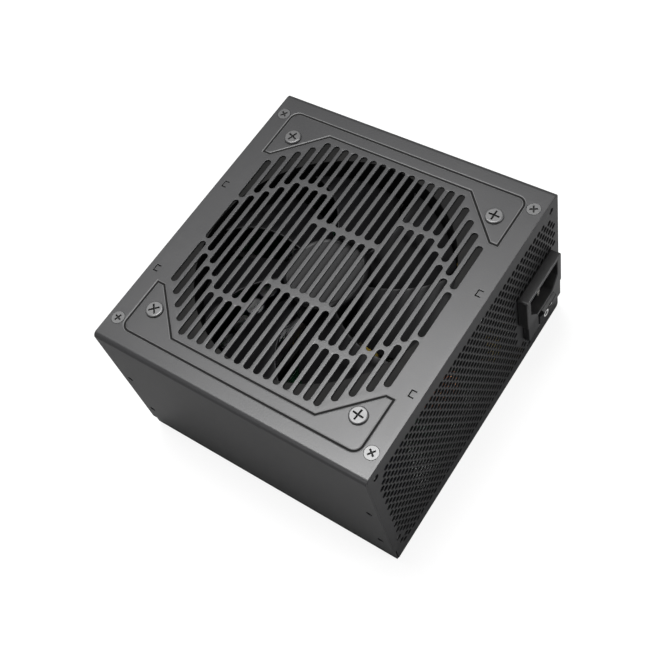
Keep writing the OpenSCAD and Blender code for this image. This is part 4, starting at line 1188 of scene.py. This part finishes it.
# A smooth curve through each four points in turn, in six steps.
for a, b, c, d in zip(padded, padded[1:], padded[2:], padded[3:]):
    for step in range(6):
        t = step / 6
        curving, twisting = 2 * a - 5 * b + 4 * c - d, 3 * b - a - 3 * c + d
        smooth_path.append(0.5 * (2 * b + (c - a) * t + curving * t * t + twisting * t * t * t))
smooth_path.append(lead_path[-1])
lead_mesh = bpy.data.meshes.new("fan_lead_path")
lead_mesh.from_pydata(smooth_path, [(i, i + 1) for i in range(len(smooth_path) - 1)], [])
lead = new_object("fan_lead_path", lead_mesh)
give_nodes(
    lead, twisted_lead_tree(), Wire_Radius=0.00038, Twist_Radius=0.0004, Twist_Length=0.009,
    Finish=cable_black,
)
stands_for(finished(lead, "twisted_fan_lead"), "fan_lead")
for node, name in (("fan_plug", "lead_plug"), ("fan_header", "board_header")):
    rebuilt(node, name, white_plastic, 0.0003)

# ---------- mains inlet ----------
# A deep socket moulded in black nylon with a hood that stands out of the
# panel. It has two cut lower corners and three flat pins set back inside.

inlet_plastic = coated(
    "inlet_plastic", (0.02, 0.02, 0.021), (0.06, 0.06, 0.06), 1000.0, 0.36, 0.1, 0.22, 0.4, 0.05,
    Specular_IOR_Level=0.6,
)
rebuilt("inlet_housing", "hooded_inlet", inlet_plastic, 0.0005, segments=3)
contact_metal = metal("contact_metal", (0.72, 0.7, 0.66), 0.26, 0.08, 2200.0, 0.15, (1, 0.05, 1))
rebuilt("inlet_pins", "flat_pins", contact_metal, 0.00045, segments=3)

# ---------- mains switch ----------
# A low bezel with a rocker that tips on two trunnions. Its upper half, with
# the on mark, stands out when the lower half, with the off mark, is pressed.

rebuilt("switch_housing", "switch_bezel", inlet_plastic, 0.0003)
rocker_plastic = coated(
    "rocker_plastic", (0.008, 0.008, 0.009), (0.03, 0.03, 0.03), 800.0, 0.4, 0.1, 0.12, 0.1, 0.02,
    Specular_IOR_Level=0.25,
)
rebuilt(
    "rocker", "tipping_rocker", rocker_plastic, 0.0004, body="rocker", sharper_than=15, segments=3
)
mark_white = coated(
    "mark_white", (0.86, 0.86, 0.85), (0.9, 0.9, 0.9), 2500.0, 0.4, 0.1, 0.2, 0.2, 0.05
)
marks = softened("rocker_marks", "printed_marks", 0.00004)
rocker_low, rocker_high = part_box("rocker")
rocker_middle = (rocker_low[2] + rocker_high[2]) / 2
bar_points = [point for point in marks.data.vertices if point.co.z > rocker_middle]
bar_middle = sum((point.co for point in bar_points), Vector()) / len(bar_points)
for point in bar_points:
    point.co = bar_middle + (point.co - bar_middle) * 1.3
stands_for(marks, "rocker_marks", mark_white, body="rocker")
rebuilt("switch_terminals", "switch_tabs", contact_metal, 0.0001)

# ---------- circuit boards ----------
# Glass-fibre boards under a dark solder mask, with copper tracks that show
# through it as raised, slightly paler lines.

tracks_group, given, made = new_tree(
    "printed_tracks",
    {"Color": ["Mask Color", "Track Color"], "Float": ["Scale"]},
    {"Color": ["Color"], "Float": ["Height"]},
)
second, first = (
    tracks_group.add(
        "ShaderNodeTexVoronoi", Vector=tracks_group.where(), Scale=given["Scale"],
        Randomness=0.85, distance="CHEBYCHEV", feature=feature,
    )["Distance"]
    for feature in ("F2", "F1")
)
track = tracks_group.remap(tracks_group.number("SUBTRACT", second, first), 0.06, 0.1)
track_color = tracks_group.blend(track, given["Mask Color"], given["Track Color"])
tracks_group.join(track_color, made["Color"])
tracks_group.join(track, made["Height"])

circuit_board, nodes, shader = new_finish("circuit_board")
tracks = use_group(
    nodes, tracks_group, Mask_Color=(0.008, 0.03, 0.016), Track_Color=(0.016, 0.06, 0.03),
    Scale=190.0,
)
plain(nodes, shader, tracks["Color"], 0.2, 500.0, 0.28, 0.2, tracks["Height"], 0.5)
for node, name in (
    ("main_board", "large_board"),
    ("inlet_board", "filter_board"),
    ("control_board", "controller_board"),
    ("converter_board", "small_converter"),
    ("modular_board", "socket_board"),
):
    rebuilt(node, name, circuit_board, 0.00015)

# Solder domes under the main board, in the rows of its parts' legs.
dome_shape = bmesh.new()
dome_profile = [(0, 0), (0.0009, 0), (0.00075, -0.0003), (0.0004, -0.0007), (0, -0.0009)]
add_turned(dome_shape, dome_profile, sides=10)
dome = solid_object(dome_shape, "solder_dome")
leg_rows = [(x / 1000, y / 1000, 0.0068) for x in range(-60, 61, 8) for y in (-50, -38, -8, 20, 46)]
solder = metal("solder", (0.6, 0.6, 0.6), 0.3, 0.1, 1500.0, 0.3)
solder_row = set_out("solder_domes", dome, leg_rows, solder, any_turn, 5)
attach(solder_row, "case")

# ---------- board fixings ----------
# Four brass pillars pressed into the floor carry the main board, and a milky
# sheet of film keeps its solder side off the steel.

insulation, nodes, shader = new_finish("insulation")
plain(nodes, shader, (0.6, 0.58, 0.5), 0.4, 120.0, 0.3, 0.2, strength=0.2, depth=0.0003)
refinish(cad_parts["insulation_sheet"], insulation)
brass = metal("standoff_brass", (0.75, 0.55, 0.25), 0.3, 0.1, 2000.0, 0.2)
rebuilt("standoffs", "brass_pillars", brass, 0.0002)
board_top = 0.0084
board_screw = cross_head(
    "board_screw",
    [(0, -0.0051), (0.0015, -0.0051), (0.0015, 0.00001), (0.0028, 0.00001), (0.0029, 0.0001),
     (0.0029, 0.0006), (0.0026, 0.0013), (0.0021, 0.0018), (0.0018, 0.002)],
    span=0.0034, wide=0.0007, deep=0.0012,
)
places = [(x, y, board_top) for x in (-0.064, 0.064) for y in (-0.061, 0.050)]
board_screws = set_out("board_screws_set", board_screw, places, screw_steel, any_turn, 12)
stands_for(board_screws, "board_screws")

# ---------- input filter ----------
# Behind the inlet: boxed film capacitors, blue disc capacitors, a glass fuse
# and two ring chokes, each wound with two halves of enamelled wire.

film_yellow = coated(
    "film_yellow", (0.62, 0.42, 0.05), (0.8, 0.65, 0.2), 700.0, 0.32, 0.1, 0.12, 0.3, 0.15
)
disc_blue = coated(
    "disc_blue", (0.03, 0.12, 0.4), (0.1, 0.25, 0.6), 420.0, 0.24, 0.1, 0.3, 0.2, 0.15
)
rebuilt("mains_filter_cap", "boxed_film_caps", film_yellow, 0.0004)
rebuilt("safety_caps", "disc_caps", disc_blue, 0.0012, sharper_than=50, segments=4)
fuse_glass, nodes, shader = new_finish("fuse_glass", Coat_Weight=0.8, Coat_Roughness=0.05)
grain = use_group(nodes, grain_group, Scale=400.0, Roughness=0.3, Spread=0.2)
clouded = use_group(nodes, dust_group, Color=(0.55, 0.55, 0.5), Amount=0.3)
link_shader(nodes, shader, clouded["Color"], grain["Roughness"])
rebuilt("fuse", "glass_fuse", fuse_glass, 0.0003)
rebuilt("choke_cores", "filter_rings", ferrite, 0.0005)
filter_core, wire_thick, ring_low = (0.0055, 0.0105, 0.008), 0.0015, 0.0099
two_halves = ((20, 140), (200, 140))
filter_coils = [
    winding(name, filter_core, ring_low, (0.050, y), two_halves, wire_thick)
    for name, y in (("choke_a", -0.024), ("choke_b", 0.004))
]
stands_for(joined(filter_coils, "filter_coils"), "choke_windings", copper)

# ---------- input power stage ----------
# A finned aluminium extrusion holds the bridge and two transistors by screws.
# Beside it stand the boost choke, the large capacitor, thermistor and relay.

aluminium = (0.62, 0.63, 0.64)
heat_sink = metal("heat_sink", aluminium, 0.36, 0.1, 900.0, 0.25, (1, 0.04, 1))
package_black = coated(
    "package_black", (0.02, 0.02, 0.021), (0.06, 0.06, 0.06), 1500.0, 0.5, 0.1, 0.4, 0.2, 0.15
)
rebuilt("primary_heat_sink", "input_sink", heat_sink, 0.0002)
for node, name in (
    ("bridge_rectifier", "bridge_package"),
    ("primary_transistors", "switching_packages"),
    ("secondary_transistors", "output_packages"),
):
    rebuilt(node, name, package_black, 0.0002)
package_screw = cross_head(
    "package_screw",
    [(0, -0.0078), (0.0015, -0.0078), (0.0015, 0.00001), (0.0027, 0.00001), (0.0028, 0.0001),
     (0.0028, 0.0009), (0.0024, 0.0015), (0.0018, 0.0018)],
    span=0.003, wide=0.0007, deep=0.001,
)
lying = Matrix.Translation((0.0172, 0, 0.0294)) @ Matrix.Rotation(-pi / 2, 4, "Y")
places = [(0, y, 0) for y in (-0.0245, -0.0065)]
package_screws = set_out(
    "package_screws_set", package_screw, places, screw_steel, any_turn, 2, lying
)
stands_for(package_screws, "transistor_screws")
rebuilt("boost_choke_core", "boost_ring", ferrite, 0.0006)
boost_coil = winding(
    "boost_coil", (0.007, 0.0125, 0.012), ring_low, (0, -0.044), ((0, 330),), wire_thick
)
stands_for(boost_coil, "boost_choke_winding", copper)

# Aluminium cans in a shrunk sleeve, scored on top so that they vent safely.
can_sleeve, nodes, shader = new_finish("can_sleeve", Coat_Weight=0.25, Coat_Roughness=0.15)
sleeved = nodes.add("ShaderNodeAttribute", attribute_name="sleeve")["Fac"]
striped = nodes.add("ShaderNodeAttribute", attribute_name="stripe")["Fac"]
sleeve_color = nodes.blend(striped, (0.012, 0.013, 0.03), (0.45, 0.45, 0.42))
can_color = nodes.blend(sleeved, (0.66, 0.66, 0.67), sleeve_color)
nodes.join(nodes.number("SUBTRACT", 1.0, sleeved), shader["Metallic"])
plain(nodes, shader, can_color, 0.25, 700.0, 0.28, 0.2, strength=0.12)


def vented_can(name, radius, height):
    """One capacitor can with its sleeve, its crimp and the scored cross on top."""
    rim = min(0.0009, radius * 0.12)
    can = cross_head(
        name,
        [(0, 0), (radius - rim, 0), (radius, rim), (radius, rim * 2), (radius - rim * 0.45, rim * 2.8),
         (radius, rim * 3.6), (radius, height - rim), (radius - rim * 0.3, height - rim * 0.2),
         (radius - rim, height), (radius - rim * 1.6, height), (radius - rim * 1.9, height - 0.0003),
         (radius - rim * 2.1, height - 0.0003)],
        span=radius * 1.3, wide=radius * 0.07, deep=0.00025, sides=40,
    )
    sleeve = can.data.attributes.new("sleeve", "FLOAT", "POINT")
    stripe = can.data.attributes.new("stripe", "FLOAT", "POINT")
    for point, in_sleeve, in_stripe in zip(can.data.vertices, sleeve.data, stripe.data):
        in_sleeve.value = float(hypot(point.co.x, point.co.y) > radius - rim * 1.2)
        in_stripe.value = float(abs(atan2(point.co.y, point.co.x)) < 0.4)
    return can


bulk_pattern = vented_can("bulk_pattern", 0.015, 0.045)
bulk = set_out("bulk_can", bulk_pattern, [(-0.046, -0.044, board_top)], can_sleeve)
stands_for(bulk, "bulk_capacitor")
thermistor_green = coated(
    "thermistor_green", (0.03, 0.08, 0.05), (0.1, 0.2, 0.1), 500.0, 0.35, 0.1, 0.3, 0.2, 0.15
)
rebuilt(
    "thermistor", "inrush_disc", thermistor_green, 0.0008, "disc_blue", sharper_than=50, segments=3
)
relay_blue = coated(
    "relay_blue", (0.02, 0.05, 0.16), (0.1, 0.15, 0.3), 900.0, 0.3, 0.1, 0.15, 0.3, 0.15
)
rebuilt("relay", "boxed_relay", relay_blue, 0.0005)

# ---------- transformers ----------
# Ferrite cores round taped windings. The tape's overlaps show as fine rings.

tape_yellow, nodes, shader = new_finish("tape_yellow")
layers = nodes.add(
    "ShaderNodeTexWave", Vector=nodes.where(), Scale=160.0, Distortion=1.5, Detail=2.0,
    bands_direction="Z",
)["Fac"]
tape_color = nodes.blend(layers, (0.5, 0.34, 0.04), (0.66, 0.5, 0.1))
plain(nodes, shader, tape_color, 0.2, 600.0, 0.3, 0.2, layers, 0.3)
for node, name, edge, finish in (
    ("transformer_core", "main_core", 0.0005, ferrite),
    ("transformer_winding", "main_winding", 0.0004, tape_yellow),
    ("standby_transformer", "standby_block", 0.0005, tape_yellow),
    ("resonant_choke", "resonant_block", 0.0005, ferrite),
):
    rebuilt(node, name, finish, edge)

# ---------- output stage ----------
# The output transistors' sink, a row of capacitors and copper bars that carry
# the current up to the socket board.

sink_across = metal("heat_sink_across", aluminium, 0.36, 0.1, 900.0, 0.25, (0.04, 1, 1))
rebuilt("secondary_heat_sink", "output_sink", sink_across, 0.0002, "heat_sink")
tall = [(-0.054 + 0.011 * i, 0.046, board_top) for i in range(8)]
tall_can = vented_can("tall_pattern", 0.005, 0.025)
tall_cans = set_out("tall_cans", tall_can, tall, can_sleeve, 1.5, 4)
short = [(x, 0.031, board_top) for x in (0, 0.014)]
short_can = vented_can("short_pattern", 0.005, 0.018)
short_cans = set_out("short_cans", short_can, short, can_sleeve, 1.5, 9)
cans = joined([tall_cans, short_cans], "output_cans")
stands_for(cans, "output_capacitors")
bare_copper = metal("bare_copper", (0.78, 0.4, 0.22), 0.34, 0.12, 1500.0, 0.2, (1, 1, 0.05))
rebuilt("busbars", "copper_bars", bare_copper, 0.00015)

# ---------- output sockets ----------
# Moulded blocks with two rows of cells and a latch ramp on top. Each cell
# holds one square tinned contact.

socket_plastic = coated(
    "socket_plastic", (0.015, 0.015, 0.016), (0.06, 0.06, 0.06), 1200.0, 0.38, 0.1, 0.2, 0.4, 0.1
)
for node, name in (
    ("main_socket", "wide_socket"),
    ("eight_pin_sockets", "eight_way_sockets"),
    ("six_pin_sockets", "six_way_sockets"),
):
    rebuilt(node, name, socket_plastic, 0.00012)

contact_gold = metal("contact_gold", (0.8, 0.66, 0.36), 0.25, 0.08, 2000.0, 0.1)
half_contact, contact_long, contact_tip = 0.00055, 0.008, 0.0005
contact_profile = [(0, 0), (half_contact * sqrt(2), 0)]
contact_profile += [(half_contact * sqrt(2), contact_long - contact_tip)]
contact_profile += [(half_contact * 0.8, contact_long), (0, contact_long)]
contact_turn = Matrix.Rotation(-pi / 2, 4, "X") @ Matrix.Rotation(pi / 4, 4, "Z")
contact_shape = bmesh.new()
add_turned(contact_shape, contact_profile, contact_turn, sides=4)
contact = solid_object(contact_shape, "contact_pattern", smooth=False)
contact_places = [
    (x + (way - (ways - 1) / 2) * pin_pitch, 0.0600, z + row * pin_pitch)
    for kind, ways, x, z in sockets
    for way in range(ways)
    for row in (-0.5, 0.5)
]
contacts = set_out("contact_rows", contact, contact_places, contact_gold)
stands_for(contacts, "socket_pins")
